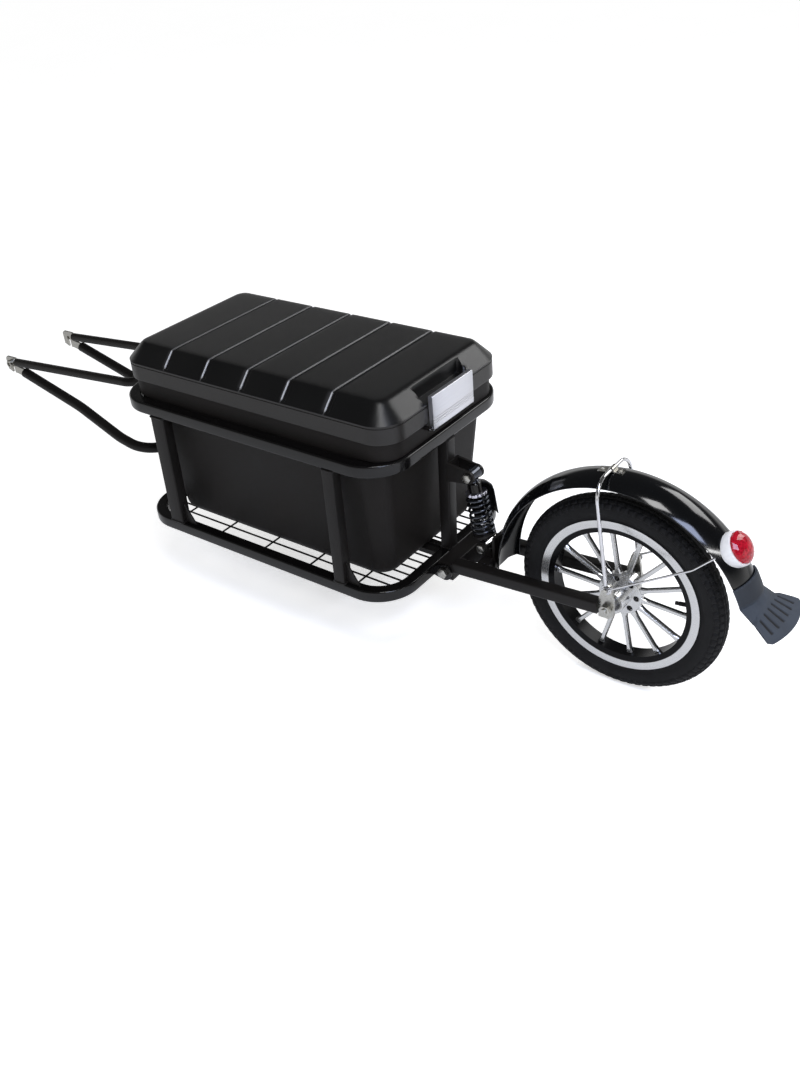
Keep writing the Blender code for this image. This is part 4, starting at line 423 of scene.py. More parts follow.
def turned(profile, centre, axis, steps=48, closed=True):
    """A profile of (distance from the axis, distance along it) carried round the axis."""
    angles = np.radians(np.linspace(0, 360, steps, endpoint=False))
    profile = np.asarray(profile, float)
    points = placed(centre, axis, angles[:, None], profile[None, :, 0], profile[None, :, 1])
    return skin(points, True, closed)


def shank(radius, low, high, chamfer):
    """Profile of a round bar with a chamfer at its high end."""
    return [(0, low), (radius, low), (radius, high - chamfer), (radius - chamfer, high), (0, high)]


def hexagon(centre, axis, radius, low, high, bore=0.0):
    """A hexagon nut or head, its face edges cut by a cone of 25 degrees on both sides.

    The outline's radius is the across-flats radius over the cosine of the angle from the
    nearest flat, and both faces drop with the radius beyond the flats' circle.
    """
    angles = np.radians(np.arange(0, 360, 6.0))
    flat = radius * math.cos(math.radians(30))
    outline = flat / np.cos((angles % math.radians(60)) - math.radians(30))
    drop = (outline - flat * 0.97) * math.tan(math.radians(25))
    level = np.zeros_like(angles)
    face = level + flat * 0.97
    reach = np.stack([level + bore, face, outline, outline, face, level + bore], 1)
    along = np.stack([low + level, low + level, low + drop, high - drop, high + level,
                      high + level], 1)
    return skin(placed(centre, axis, angles[:, None], reach, along), True, bore > 0)


def dress(material, *names):
    """Gives CAD nodes that stay in view their finish."""
    for name in names:
        nodes[name].data.materials.clear()
        nodes[name].data.materials.append(material)


HEAD = (HEAD_X, 0, 0)
pin = turned(shank(0.006, -0.0566, 0.188, 0.0015), HEAD, (0, 0, -1), 40, closed=False)
head = hexagon(HEAD, (0, 0, 1), 0.011, 0.0566, 0.0646)
piece("king_pin_turned", [pin, head], zinc, "frame", ["king_pin"])
dress(bronze, "steerer_bush", "pivot_bush")

# The yoke: an upright steerer tube with two bent round tubes that run forward to the
# bicycle's axle, a flat slotted plate at each side, and axle nuts. The steel is satin black.


def sleeve(bore, radius, low, high, edge):
    """Profile of a round sleeve with both outer edges broken."""
    return [(bore, low), (radius - edge, low), (radius, low + edge), (radius, high - edge),
            (radius - edge, high), (bore, high)]


YOKE_Y, UPPER_TUBE, LOWER_TUBE = 0.088, 0.010, 0.012
piece("steerer_tube_turned", [turned(sleeve(0.013, 0.017, -0.168, 0.048, 0.0006), HEAD, (0, 0, 1))],
      satin_coat, "yoke", ["steerer_tube"])
for name, radius, bends, side_run in (
        ("yoke_upper_tube", UPPER_TUBE, [0.04, 0.04],
         [(0.0200, 0.0047), (0.4667, 0.0417)]),
        ("yoke_lower_tube", LOWER_TUBE, [0.28, 0.28, 0.14, 0.07],
         [(0.044, -0.0173), (0.236, -0.067), (0.362, -0.118), (0.4647, -0.139)])):
    near = lift(side_run, 1, -YOKE_Y)
    path = bent_line(np.vstack([near, near[::-1] * (1, -1, 1)]), bends + bends[::-1], 14)
    piece(name + "_bent", [sweep(path, ring(radius, 28), (0, 0, 1))], satin_coat, "yoke",
          [name])
dress(zinc, "hitch_plate_near", "hitch_plate_far")
for side_name, side in SIDES:
    nut = hexagon((0, 0, 0), (0, side, 0), 0.0098, 0.0908, 0.0998, 0.005)
    piece(f"hitch_nut_{side_name}_chamfered", [nut], zinc, "yoke",
          ["hitch_nut_" + side_name])

# The storage box: a tub of black polypropylene, injection moulded with leaning walls, an
# overhanging rim, and small ears that the latches hinge on. It lifts out upwards.

# Moulded polypropylene: the eye gets a matt black with a faint brown tint, an etched
# grain of 0.7 mm, drawn larger than the real 0.3 mm so that it shows, and dull clouds.
box_plastic, tree, shader, place = finish("moulded_black_polypropylene", "#121010", 0.50,
                                          specular=0.18)
grain = node(tree, "TexVoronoi", "Distance", {"Vector": place, "Scale": 1 / 0.0007})
cloud = node(tree, "TexNoise", "Fac", {"Vector": place, "Scale": 1 / 0.120, "Detail": 2.0})
vary(tree, shader, colour=(cloud, "#0b0a0a", "#1d1917"), roughness=(cloud, 0.44, 0.62),
     relief=(grain, 0.30, 0.0002))

BOX_MIDDLE, BOX_X, BOX_Y, BOX_CORNER = 0.9095, 0.313, 0.181, 0.050
FOOT_Z, FOOT_ROUND, LEAN, WALL = -0.1934, 0.022, 0.026, 0.003
NECK_Z, STEP_LOW, STEP_HIGH = 0.0700, 0.0710, 0.0863
RIM_ROWS = [(STEP_HIGH, 0.3368, 0.1823, 0.0495), (0.0870, 0.3375, 0.183, 0.050),
            (0.1348, 0.3375, 0.183, 0.050), (0.1358, 0.3365, 0.182, 0.049),
            (0.1358, 0.311, 0.179, 0.048), (0.1348, 0.310, 0.178, 0.047)]
HINGE_REACH, HINGE_Z = 0.3515, 0.1128
HINGE_WALL, HINGE_EAR, HINGE_BORE, HINGE_Y = 0.3372, 0.003, 0.0021, 0.069


def box_ring(height, half_x, half_y, radius):
    """A rounded rectangle about the box's middle at a height."""
    return lift(rounded_rectangle(half_x, half_y, radius, 14) + (BOX_MIDDLE, 0), 2, height)


def foot_rings(turns, inset):
    """Rings of the foot's quarter circle for the outer wall, or for one inset from it."""
    turns, radius = np.radians(turns), FOOT_ROUND - inset
    rise = inset + radius * (1 - np.cos(turns))
    draw = LEAN + inset + radius * (1 - np.sin(turns))
    return [box_ring(FOOT_Z + r, BOX_X - d, BOX_Y - d, BOX_CORNER - d / 2)
            for r, d in zip(rise, draw)]


def box_tub():
    """Rings from the middle of the foot up the outside, over the rim and down the inside.

    The foot is a quarter circle of 22 mm, the walls lean outward by 26 mm to the neck,
    and a step under the rim locates the tub inside the top loop.
    """
    turns = np.linspace(0, 90, 9)
    step = rounded_rectangle(0.3275, 0.1820, 0.0580, 14) + (LOOPS_MIDDLE - 0.0005, 0)
    rings = foot_rings(turns, 0) + [box_ring(NECK_Z, BOX_X, BOX_Y, BOX_CORNER)]
    rings += [lift(step, 2, height) for height in (STEP_LOW, STEP_HIGH)]
    rings += [box_ring(*row) for row in RIM_ROWS] + foot_rings(turns[::-1], WALL)
    return skin(rings, False, True, True)


latch_ears = []
for end in (-1, 1):
    hinge, wall = BOX_MIDDLE + end * HINGE_REACH, BOX_MIDDLE + end * HINGE_WALL
    outline = np.vstack([arc((hinge, HINGE_Z), HINGE_EAR, -90 * end, 180 - 90 * end, 10),
                         [(wall, HINGE_Z + HINGE_EAR * end), (wall, HINGE_Z - HINGE_EAR * end)]])
    for y in (-HINGE_Y, HINGE_Y):
        latch_ears.append(drilled_plate(dense(outline, 3), (hinge, HINGE_Z), HINGE_BORE, 1,
                                        y - 0.003, y + 0.003, 0.0003))
piece("storage_box_moulded", [box_tub()] + latch_ears, box_plastic, "box",
      ["storage_box"])

# The lid: one moulded shell of near-black plastic with a finely textured roof, a chamfer
# all round, five cross grooves, a notch over the rear latch, and a skirt over the box's rim.

LID_X, LID_Y, LID_CORNER = 0.3455, 0.187, 0.053
SHOULDER, ROOF, CHAMFER_WIDTH, ROOF_ROUND = 0.1598, 0.1938, 0.0335, 0.0030
GROOVE_STEP, GROOVE_HALF, GROOVE_DEPTH = 0.104, 0.0045, 0.0025
NOTCH_HALF, NOTCH_X, NOTCH_FLOOR = 0.0705, 0.3175, 0.1606
SEAT_Z, LID_WALL, SKIRT_TOP, SKIRT_TINT_END = 0.1361, 0.0030, 0.1600, 0.1580
SKIRT = [(0.1590, 0.0), (0.1572, 0.0003), (0.1566, 0.0016), (0.1545, 0.0016), (0.1538, 0.0003),
         (0.1275, 0.0), (0.1262, 0.0), (0.1240, 0.0), (0.1230, 0.0003), (0.1228, 0.0010),
         (0.1228, LID_WALL), (SEAT_Z, LID_WALL)]

# Textured lid plastic: the eye gets a deep black with a fine sparkle from a grain of
# 0.8 mm, drawn larger than the real 0.4 mm, a brown tint on the upright skirt, and a
# painted highlight in pale lines along the grooves' front edges, most of all on the chamfer.
lid_plastic, tree, shader, place = finish("textured_black_lid_plastic", "#0a0a0b", 0.34,
                                          specular=0.45)
grain = node(tree, "TexVoronoi", "Distance", {"Vector": place, "Scale": 1 / 0.0008})
cloud = node(tree, "TexNoise", "Fac", {"Vector": place, "Scale": 1 / 0.150, "Detail": 2.0})
height = node(tree, "SeparateXYZ", "Z", {0: place})
skirt = node(tree, "MapRange", "Result", {"Value": height, "From Min": SKIRT_TOP,
                                          "From Max": SKIRT_TINT_END, "To Max": 0.75})
plain = node(tree, "Mix", 2, {0: cloud, 6: linear("#060607"), 7: linear("#0f0f0f")},
             data_type="RGBA")
tinted = node(tree, "Mix", 2, {0: skirt, 6: plain, 7: linear("#1b1816")}, data_type="RGBA")
# A pale painted highlight along the grooves' front edges, read from an attribute.
painted_groove_highlight = node(tree, "Attribute", "Fac", attribute_name="painted_groove_highlight")
vary(tree, shader, colour=(painted_groove_highlight, tinted, "#c9c9cc"), roughness=(cloud, 0.26, 0.38),
     relief=(grain, 0.35, 0.0002))


def softly(value, edge, width):
    """A step from 0 to 1 at an edge, spread over a width by a hyperbolic tangent."""
    return 0.5 + 0.5 * np.tanh((value - edge) / width)


def groove_line(x):
    """The middle line of the nearest of the five cross grooves."""
    return np.round(np.clip(x / GROOVE_STEP, -2, 2)) * GROOVE_STEP


def lid_height(x, y):
    """Height of the lid's top over its middle plane.

    The distance in from the rounded outline times the chamfer's slope, softly held below
    the roof; less the grooves' depth near their five middle lines; and softly held below
    the notch floor where the rear latch closes.
    """
    qx, qy = np.abs(x) - (LID_X - LID_CORNER), np.abs(y) - (LID_Y - LID_CORNER)
    outside = np.hypot(np.maximum(qx, 0), np.maximum(qy, 0)) + np.minimum(np.maximum(qx, qy), 0)
    inward = np.maximum(LID_CORNER - outside, 0)
    chamfer = SHOULDER + inward * (ROOF - SHOULDER) / CHAMFER_WIDTH
    top = (chamfer + ROOF - np.sqrt((chamfer - ROOF) ** 2 + ROOF_ROUND ** 2)) / 2
    groove = softly(GROOVE_HALF - np.abs(x - groove_line(x)), 0, 0.0006)
    groove = groove * softly(top, SHOULDER + 0.005, 0.0012)
    slope = 1 + 0.4 * softly(ROOF - 0.002 - top, 0, 0.002)
    top = top - GROOVE_DEPTH * groove * slope
    notch = softly(NOTCH_HALF - np.abs(y), 0, 0.0010) * softly(x, NOTCH_X, 0.0006)
    return top + (np.minimum(top, NOTCH_FLOOR) - top) * notch


def painted_edge_highlights(x, y):
    """Painted highlight along each groove's front edge: a narrow bell, strong on the chamfer."""
    middle = groove_line(x)
    edge = np.exp(-((x - middle + 0.0050) / 0.0009) ** 2)
    plain = lid_height(middle + 0.02, y)
    chamfer = softly(0.1915 - plain, 0, 0.0008) * softly(plain, SHOULDER + 0.006, 0.0008)
    return edge * (0.12 + 0.72 * chamfer)


def border(grid):
    """The ring of points round the edge of a grid."""
    return np.vstack([grid[0], grid[1:, -1], grid[-1, -2::-1], grid[-2:0:-1, 0]])


def lid_shell():
    """The roof as a grid of cross lines, and its border ring carried down the skirt.

    The lines crowd at the grooves, round the corners and at the notch. The skirt's rings
    are the border drawn in square to the outline, and the underside is the roof's grid
    again, drawn in and lowered.
    """
    grooves = [np.linspace(g - 0.0065, g + 0.0065, 15) for g in GROOVE_STEP * np.arange(-2, 3)]
    ends = LID_X - LID_CORNER * (1 - np.sin(np.radians(np.linspace(0, 90, 22))))
    lines = np.concatenate(grooves + [ends, -ends, np.linspace(-0.29, 0.29, 60),
                                      np.linspace(0.3155, 0.3200, 9)])
    lines = np.unique(np.round(lines, 5))
    into = np.maximum(np.abs(lines) - (LID_X - LID_CORNER), 0)
    breadth = LID_Y - LID_CORNER + np.sqrt(np.maximum(LID_CORNER ** 2 - into ** 2, 0))
    across = np.concatenate([np.linspace(0.80, 1.0, 20), np.linspace(0, 0.80, 24),
                             0.372 + np.linspace(-0.02, 0.02, 7)])
    across = np.unique(np.round(np.concatenate([-across, across]), 5))
    x = np.broadcast_to(lines[None], (len(across), len(lines)))
    y = across[:, None] * breadth[None]
    roof = lid_height(x, y)
    top = np.stack([x + BOX_MIDDLE, y, roof], -1)
    inside = np.minimum(SEAT_Z + (roof - SHOULDER) * 1.5, 0.1890 - 0.0030 * (roof < 0.1915))
    under = np.stack([x * (LID_X - 0.015) / LID_X + BOX_MIDDLE, y * (LID_Y - 0.0105) / LID_Y,
                      inside], -1)
    edge = border(top)
    from_middle = edge[:, :2] - (BOX_MIDDLE, 0)
    corner = np.maximum(np.abs(from_middle) - (LID_X - LID_CORNER, LID_Y - LID_CORNER), 0)
    outward = unit(np.sign(from_middle) * corner + 1e-9)
    walls = [lift(edge[:, :2] - outward * inset, 2, level) for level, inset in SKIRT]
    skins = [skin(top), skin([edge] + walls + [border(under)], False, True), skin(under)]
    # Each roof point's share of the pale painted highlight on the grooves' front edges.
    painted_groove_highlight = np.zeros(sum(len(points) for points, quads in skins))
    painted_groove_highlight[:x.size] = painted_edge_highlights(x, y).ravel()
    return skins, painted_groove_highlight


lid_skins, lid_painted_highlights = lid_shell()
piece("box_lid_moulded", lid_skins, lid_plastic, "lid", ["box_lid"], 38,
      [("painted_groove_highlight", lid_painted_highlights)])

# The two latches: pressed aluminium plates with a rolled knuckle on a stub pin at the
# foot, a few pressed lines above it, brushed and clear anodised. The front one is lower.

# Brushed anodised aluminium: the eye gets a pale lavender grey with fine level streaks
# 0.4 mm apart and 30 mm long, and a soft stretched highlight.
latch_metal, tree, shader, place = finish("brushed_anodised_aluminium", "#d6d8de", 0.34, 1.0)
stretched = node(tree, "Mapping", "Vector",
                 {"Vector": place, "Scale": (1 / 0.0008, 1 / 0.030, 1 / 0.0004)})
streak = node(tree, "TexNoise", "Fac", {"Vector": stretched, "Scale": 1.0, "Detail": 2.0})
vary(tree, shader, colour=(streak, "#cbccd4", "#e8e9ee"), roughness=(streak, 0.26, 0.44),
     relief=(streak, 0.15, 0.0001))

LATCH_HALF, KNUCKLE, PLATE_FOOT, CROWN = 0.005, 0.005, 0.1145, 0.0015
PRESSED_LINES, PRESSED_DEPTH = (0.1225, 0.1275, 0.1325), 0.0011
LATCH_Y, LATCH_EDGE = 0.065, 0.0008


def latch_plate(hinge, end, top):
    """The latch's side outline carried along its width.

    The outer face dips at three pressed lines above the knuckle, and the two ends of the
    width are drawn in a little.
    """
    height = np.linspace(PLATE_FOOT, top - CROWN, 60)
    dips = sum(np.exp(-((height - line) / 0.0008) ** 2) for line in PRESSED_LINES)
    outer = np.stack([LATCH_HALF - PRESSED_DEPTH * dips, height], -1)
    crown = arc((LATCH_HALF - CROWN, top - CROWN), CROWN, 0, 90, 5)[1:]
    inner = [(-0.0035, top), (-0.0046, top - 0.0004), (-LATCH_HALF, top - CROWN),
             (-LATCH_HALF, PLATE_FOOT)]
    knuckle = arc((0, HINGE_Z), KNUCKLE, 160, 380, 24)[1:-1]
    outline = np.vstack([outer, crown, inner, knuckle]) * (end, 1) + (hinge, 0)
    inset = outline + (np.array([hinge, (0.110 + top) / 2]) - outline) * (0.08, 0.012)
    rings = [lift(inset, 1, -LATCH_Y), lift(outline, 1, LATCH_EDGE - LATCH_Y),
             lift(outline, 1, LATCH_Y - LATCH_EDGE), lift(inset, 1, LATCH_Y)]
    return skin(rings, False, True, True)


for end_name, end, top in (("front", -1, 0.1538), ("rear", 1, 0.1758)):
    hinge, name = BOX_MIDDLE + end * HINGE_REACH, "latch_" + end_name
    pin = turned(sleeve(0, 0.002, -0.072, 0.072, 0.0004), (hinge, 0, HINGE_Z), (0, 1, 0), 20,
                 closed=False)
    piece(name + "_pressed", [latch_plate(hinge, end, top), pin], latch_metal, name,
          [name])

# The swing arm: a square pivot tube on a bronze bush, two square tubes, a bridge with ears
# for the shock, and plates that take the axle. It is welded steel in satin black.

AXLE_X, AXLE_Z = 1.612, -0.164
PIVOT, ARM_Y = (PIVOT_X, 0, PIVOT_Z), 0.055
pivot = dense(rounded_rectangle(0.018, 0.018, POST_EDGE) + (PIVOT_X, PIVOT_Z), 3)
piece("pivot_tube_drilled", [drilled_plate(pivot, (PIVOT_X, PIVOT_Z), 0.010, 1, -0.0675, 0.0675)],
      satin_coat, "arm", ["pivot_tube"])
for side_name, side in SIDES:
    run = [(1.2883, side * ARM_Y, -0.1845), (1.5960, side * ARM_Y, -0.1645)]
    piece(f"arm_{side_name}_tube", [sweep(run, TUBE_SECTION, (0, 0, 1))], satin_coat, "arm",
          ["arm_" + side_name])
dress(satin_coat, "arm_bridge", "shock_upper_bracket")
dress(zinc, "dropout_near", "dropout_far", "shock_lower_nut")
bolt = [turned(shank(0.006, -0.0744, 0.0871, 0.001), PIVOT, (0, 1, 0), 32, closed=False),
        hexagon(PIVOT, (0, 1, 0), 0.011, -0.0814, -0.0744)]
piece("pivot_bolt_turned", bolt, zinc, "frame", ["pivot_bolt"])
piece("pivot_nut_chamfered", [hexagon(PIVOT, (0, 1, 0), 0.011, 0.0744, 0.0841, 0.006)],
      zinc, "frame", ["pivot_nut"])
for name, centre, body in (("shock_upper_bolt", (1.300, 0, -0.004), "frame"),
                           ("shock_lower_bolt", (1.324, 0, -0.154), "arm")):
    rod = turned(shank(0.005, -0.0200, 0.0286, 0.0008), centre, (0, 1, 0), 28, closed=False)
    head = hexagon(centre, (0, 1, 0), 0.0092, -0.0249, -0.0189)
    piece(name + "_turned", [rod, head], zinc, body, [name])

# The shock absorber: a black damper with a gunmetal eye on the upper bolt, a silver preload
# collar, a coil spring, a seat, a chromed rod, and a part-round guard of black plastic on
# the spring's far side.

# Cast collar: the eye gets a light silver with a lilac tint and a fine cast grain.
collar_metal, tree, shader, place = finish("die_cast_zinc_collar", "#c9c8d2", 0.30, 1.0)
grain = node(tree, "TexNoise", "Fac", {"Vector": place, "Scale": 1 / 0.0008, "Detail": 2.0})
vary(tree, shader, roughness=(grain, 0.22, 0.40))

# Hard chrome: the eye gets a bright mirror with the faintest grinding marks.
chrome, tree, shader, place = finish("chromed_steel_rod", "#d4d4d6", 0.10, 1.0)
marks = node(tree, "TexNoise", "Fac", {"Vector": place, "Scale": 1 / 0.004, "Detail": 2.0})
vary(tree, shader, roughness=(marks, 0.07, 0.20))

# Spring coat: the eye gets a dark gunmetal sheen over the wound wire and the cast eye.
spring_coat, tree, shader, place = finish("gunmetal_spring_coat", "#3c3e44", 0.18, 0.9)
cloud = node(tree, "TexNoise", "Fac", {"Vector": place, "Scale": 1 / 0.010, "Detail": 2.0})
vary(tree, shader, colour=(cloud, "#2c2e33", "#5c5f66"))

# Guard plastic: the eye gets a smooth satin black with faint flow clouds.
guard_plastic, tree, shader, place = finish("moulded_black_guard_plastic", "#0e0e0f", 0.32,
                                            specular=0.25)
cloud = node(tree, "TexNoise", "Fac", {"Vector": place, "Scale": 1 / 0.030, "Detail": 2.0})
vary(tree, shader, roughness=(cloud, 0.28, 0.44))

SHOCK_TOP = np.array([1.300, 0, -0.004])
SHOCK_DOWN = unit([0.024, 0, -0.150])
COLLAR_NOTCHES, NOTCH_DEPTH, COLLAR_NECK = 8, 0.0022, 0.018
COIL_TURNS, COIL_RADIUS, COIL_WIRE, END_PITCH = 7.5, 0.0202, 0.0027, 0.0065
COIL_START, COIL_END, COLLAR_FACE = 0.0450, 0.1228, 0.0423

eye = turned(sleeve(0.0053, 0.0125, -0.013, 0.013, 0.001), SHOCK_TOP, (0, 1, 0), 40)
damper = turned([(0, 0.0105), (0.008, 0.0105), (0.008, 0.0145), (0.0125, 0.018), (0.013, 0.019),
                 (0.013, 0.0912), (0.0122, 0.092), (0, 0.092)], SHOCK_TOP, SHOCK_DOWN,
                closed=False)
neck = turned([(0.0081, 0.0112), (0.0092, 0.0125), (0.0092, 0.0165), (0.0081, 0.0172)],
              SHOCK_TOP, SHOCK_DOWN, 40)
piece("shock_damper_body", [damper], gloss_coat, "shock_body", ["shock_body"])
piece("shock_upper_eye_cast", [eye, neck], spring_coat, "shock_body")


def notched(profile, steps=96):
    """A collar whose rim dips at each notch, by the cube of the turning angle's cosine."""
    angles = np.arange(steps)[:, None] * math.tau / steps
    reach, along = np.asarray(profile).T[:, None]
    dip = NOTCH_DEPTH * np.maximum(np.cos(angles * COLLAR_NOTCHES), 0) ** 3
    reach = reach - dip * (reach > COLLAR_NECK)
    return skin(placed(SHOCK_TOP, SHOCK_DOWN, angles, reach, along), True, True)


def coil():
    """A wire carried round the shock's axis, close at both ends.

    The wire's place along the axis is the end pitch for the first and last turn, and an
    even climb between them.
    """
    turns = np.linspace(0, COIL_TURNS, 301)
    along = np.interp(turns, [0, 1, COIL_TURNS - 1, COIL_TURNS],
                      [COIL_START, COIL_START + END_PITCH, COIL_END - END_PITCH, COIL_END])
    path = placed(SHOCK_TOP, SHOCK_DOWN, turns * math.tau, COIL_RADIUS, along)
    return sweep(path, ring(COIL_WIRE, 14), SHOCK_DOWN)


collar = notched(sleeve(0.0133, 0.021, 0.0360, 0.0420, 0.0007))
piece("preload_collar_cast", [collar], collar_metal, "shock_body",
      ["preload_collar"])
spring = piece("shock_spring_wound", [coil()], spring_coat, "shock_body",
               ["shock_spring"])
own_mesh(spring)
seat = turned(sleeve(0.0053, 0.023, 0.1257, 0.1307, 0.0008), SHOCK_TOP, SHOCK_DOWN)
piece("spring_seat_turned", [seat], satin_coat, "shock_shaft", ["spring_seat"])
dress(chrome, "shock_shaft")
dress(guard_plastic, "shock_guard")

# The wheel: a one-piece cast aluminium wheel with a bright rim band, a black painted ring
# inside it, fourteen thin spokes and a drilled hub, on ball bearings and a plated axle.

AXLE = (AXLE_X, 0, AXLE_Z)
RIM_EDGE = [(0.130, 0.0145), (0.142, 0.018), (0.1555, 0.018), (0.156, 0.0175), (0.156, 0.016),
            (0.1497, 0.016)]
SPOKE_REACH = np.array([0.036, 0.040, 0.046, 0.054, 0.070, 0.090, 0.110, 0.118, 0.125, 0.1325])
SPOKE_COUNT, FIRST_SPOKE, SPOKE_HALF = 14, -157.3, 0.005
DISC_OUTER, DISC_INNER, DISC_HALF, DISC_EDGE, DISC_HOLES = 0.0412, 0.0210, 0.0068, 0.0062, 7
HOLE_CIRCLE, HOLE, HOLE_RIM = 0.032, 0.0055, 0.0062

# Machined cast wheel: the eye gets bright turned faces with fine flakes in their lacquer,
# and black paint left inside the rim, in the hub's windows and along the middle of the
# spokes' flanks. The paint is where soft steps say so, over the distance from the axle,
# the depth from the wheel's middle plane, and how far the surface faces sideways.
wheel_alloy, tree, shader, place = finish("machined_and_painted_cast_wheel", "#c6c7cb", 0.24,
                                          0.9, specular=0.12)
centred = node(tree, "Mapping", "Vector",
               {"Vector": place, "Location": (-AXLE_X, 0, -AXLE_Z), "Scale": (1, 0, 1)})
reach = node(tree, "VectorMath", "Value", {0: centred}, operation="LENGTH")
depth, sideways = (
    node(tree, "Math", "Value", {0: node(tree, "SeparateXYZ", "Y", {0: vector})},
         operation="ABSOLUTE")
    for vector in (place, node(tree, "TexCoord", "Normal")))
paint = {}
for name, value, start, end in (("inside_band", reach, 0.1415, 0.1405),
                                ("past_spokes", reach, 0.1285, 0.1295),
                                ("past_hub", reach, 0.0425, 0.0435),
                                ("in_disc", reach, 0.0395, 0.0385),
                                ("past_barrel", reach, 0.0235, 0.0245),
                                ("mid_flank", depth, 0.0032, 0.0026),
                                ("cast_face", sideways, 0.80, 0.70)):
    paint[name] = node(tree, "MapRange", "Result",
                       {"Value": value, "From Min": start, "From Max": end})
for name, first, second, operation in (("ring", "inside_band", "past_spokes", "MULTIPLY"),
                                       ("flank", "mid_flank", "past_spokes", "MAXIMUM"),
                                       ("spokes", "past_hub", "flank", "MULTIPLY"),
                                       ("windows", "in_disc", "past_barrel", "MULTIPLY"),
                                       ("hollows", "spokes", "windows", "MAXIMUM"),
                                       ("shaded", "hollows", "cast_face", "MULTIPLY"),
                                       ("black", "ring", "shaded", "MAXIMUM")):
    paint[name] = node(tree, "Math", "Value", {0: paint[first], 1: paint[second]},
                       operation=operation)
flake = node(tree, "TexNoise", "Fac", {"Vector": place, "Scale": 1 / 0.0007, "Detail": 1.0})
silver = node(tree, "Mix", 2, {0: flake, 6: linear("#c2c2c2"), 7: linear("#e6e6e4")},
              data_type="RGBA")
vary(tree, shader, colour=(paint["black"], silver, "#0b0b0c"))
shine = node(tree, "MapRange", "Result", {"Value": paint["black"], "To Min": 0.9, "To Max": 0.0})
tree.links.new(shine, shader.inputs["Metallic"])


def spokes():
    """Bars from hub to rim, their width drawn from root to waist and out to the tip.

    Each ring is an octagon whose corners are shares of half the width and half the depth.
    """
    width = np.interp(SPOKE_REACH, [0.036, 0.038, 0.054, 0.118, 0.132],
                      [0.0145, 0.014, 0.008, 0.008, 0.013])[:, None, None]
    across, deep = np.array([(1, -0.6), (1, 0.6), (0.7, 1), (-0.7, 1), (-1, 0.6), (-1, -0.6),
                             (-0.7, -1), (0.7, -1)]).T[..., None]
    made = []
    for turn in np.radians(FIRST_SPOKE + 360 / SPOKE_COUNT * np.arange(SPOKE_COUNT)):
        out = np.array([math.cos(turn), 0, math.sin(turn)])
        along_width = np.array([-math.sin(turn), 0, math.cos(turn)])
        points = (np.array(AXLE) + SPOKE_REACH[:, None, None] * out
                  + 0.5 * width * across * along_width + deep * SPOKE_HALF * np.array([0, 1, 0]))
        made.append(skin(points, False, True, True))
    return made


def hub_disc():
    """Drilled sectors of a flat ring, and the walls that close them outside and inside."""
    made = []
    half = 180 / DISC_HOLES
    for turn in 2 * half * np.arange(DISC_HOLES):
        bearing = math.radians(turn)
        middle = HOLE_CIRCLE * np.array([math.cos(bearing), math.sin(bearing)])
        outer = arc((0, 0), DISC_OUTER, turn - half, turn + half, 24)
        inner = arc((0, 0), DISC_INNER, turn + half, turn - half, 24)
        outline = np.vstack([outer[:-1], np.linspace(outer[-1], inner[0], 6)[:-1],
                             inner[:-1], np.linspace(inner[-1], outer[0], 6)[:-1]])
        away = unit(outline - middle)
        hole, rim = middle + away * HOLE, middle + away * HOLE_RIM
        rings = [lift(ring_points + (AXLE_X, AXLE_Z), 1, y) for ring_points, y in
                 ((outline, -DISC_HALF), (rim, -DISC_HALF), (hole, -DISC_EDGE),
                  (hole, DISC_EDGE), (rim, DISC_HALF), (outline, DISC_HALF))]
        made.append(skin(rings, False, True))
    outer_wall = [(DISC_OUTER, -DISC_HALF), (0.042, -0.0060), (0.042, 0.0060),
                  (DISC_OUTER, DISC_HALF)]
    inner_wall = [(DISC_INNER, DISC_HALF), (DISC_INNER, -DISC_HALF)]
    return made + [turned(wall, AXLE, (0, 1, 0), 168, closed=False)
                   for wall in (outer_wall, inner_wall)]


rim = turned(RIM_EDGE + [(r, -y) for r, y in RIM_EDGE[::-1]], AXLE, (0, 1, 0), 144)
hub = turned([(0.0163, -0.0297), (0.0163, -0.0398), (0.0212, -0.040), (0.022, -0.0392),
              (0.022, 0.0392), (0.0212, 0.040), (0.0163, 0.0398), (0.0163, 0.0297),
              (0.0115, 0.0297), (0.0115, -0.0297)], AXLE, (0, 1, 0), 64)
piece("alloy_wheel_cast", [rim, hub] + spokes() + hub_disc(), wheel_alloy, "wheel",
      ["alloy_wheel"])

# Bearing steel: the eye gets a smooth dark bright ring with faint marks.
bearing_steel, tree, shader, place = finish("ground_bearing_steel", "#8e8f94", 0.20, 1.0)
marks = node(tree, "TexNoise", "Fac", {"Vector": place, "Scale": 1 / 0.0015, "Detail": 1.0})
vary(tree, shader, roughness=(marks, 0.14, 0.30))
dress(bearing_steel, "wheel_bearing_near", "wheel_bearing_far")
dress(zinc, "axle")
for side_name, side in SIDES:
    nut = hexagon(AXLE, (0, side, 0), 0.011, 0.0583, 0.0683, 0.006)
    piece(f"axle_nut_{side_name}_chamfered", [nut], zinc, "arm",
          ["axle_nut_" + side_name])

# The tyre: black rubber vulcanised in a mould, with small blocks on both shoulders and a
# ribbed crown, seated in the rim, and a rubber valve stem inside the wheel.

# Vulcanised rubber: the eye gets a dull black with grey clouds and a fine mould texture
# of 1 mm.
tyre_rubber, tree, shader, place = finish("vulcanised_black_rubber", "#121213", 0.60,
                                          specular=0.18)
grain = node(tree, "TexNoise", "Fac", {"Vector": place, "Scale": 1 / 0.001, "Detail": 3.0})
cloud = node(tree, "TexNoise", "Fac", {"Vector": place, "Scale": 1 / 0.030, "Detail": 2.0})
vary(tree, shader, colour=(cloud, "#0c0c0d", "#1a1a1b"), roughness=(grain, 0.52, 0.74),
     relief=(grain, 0.25, 0.0002))

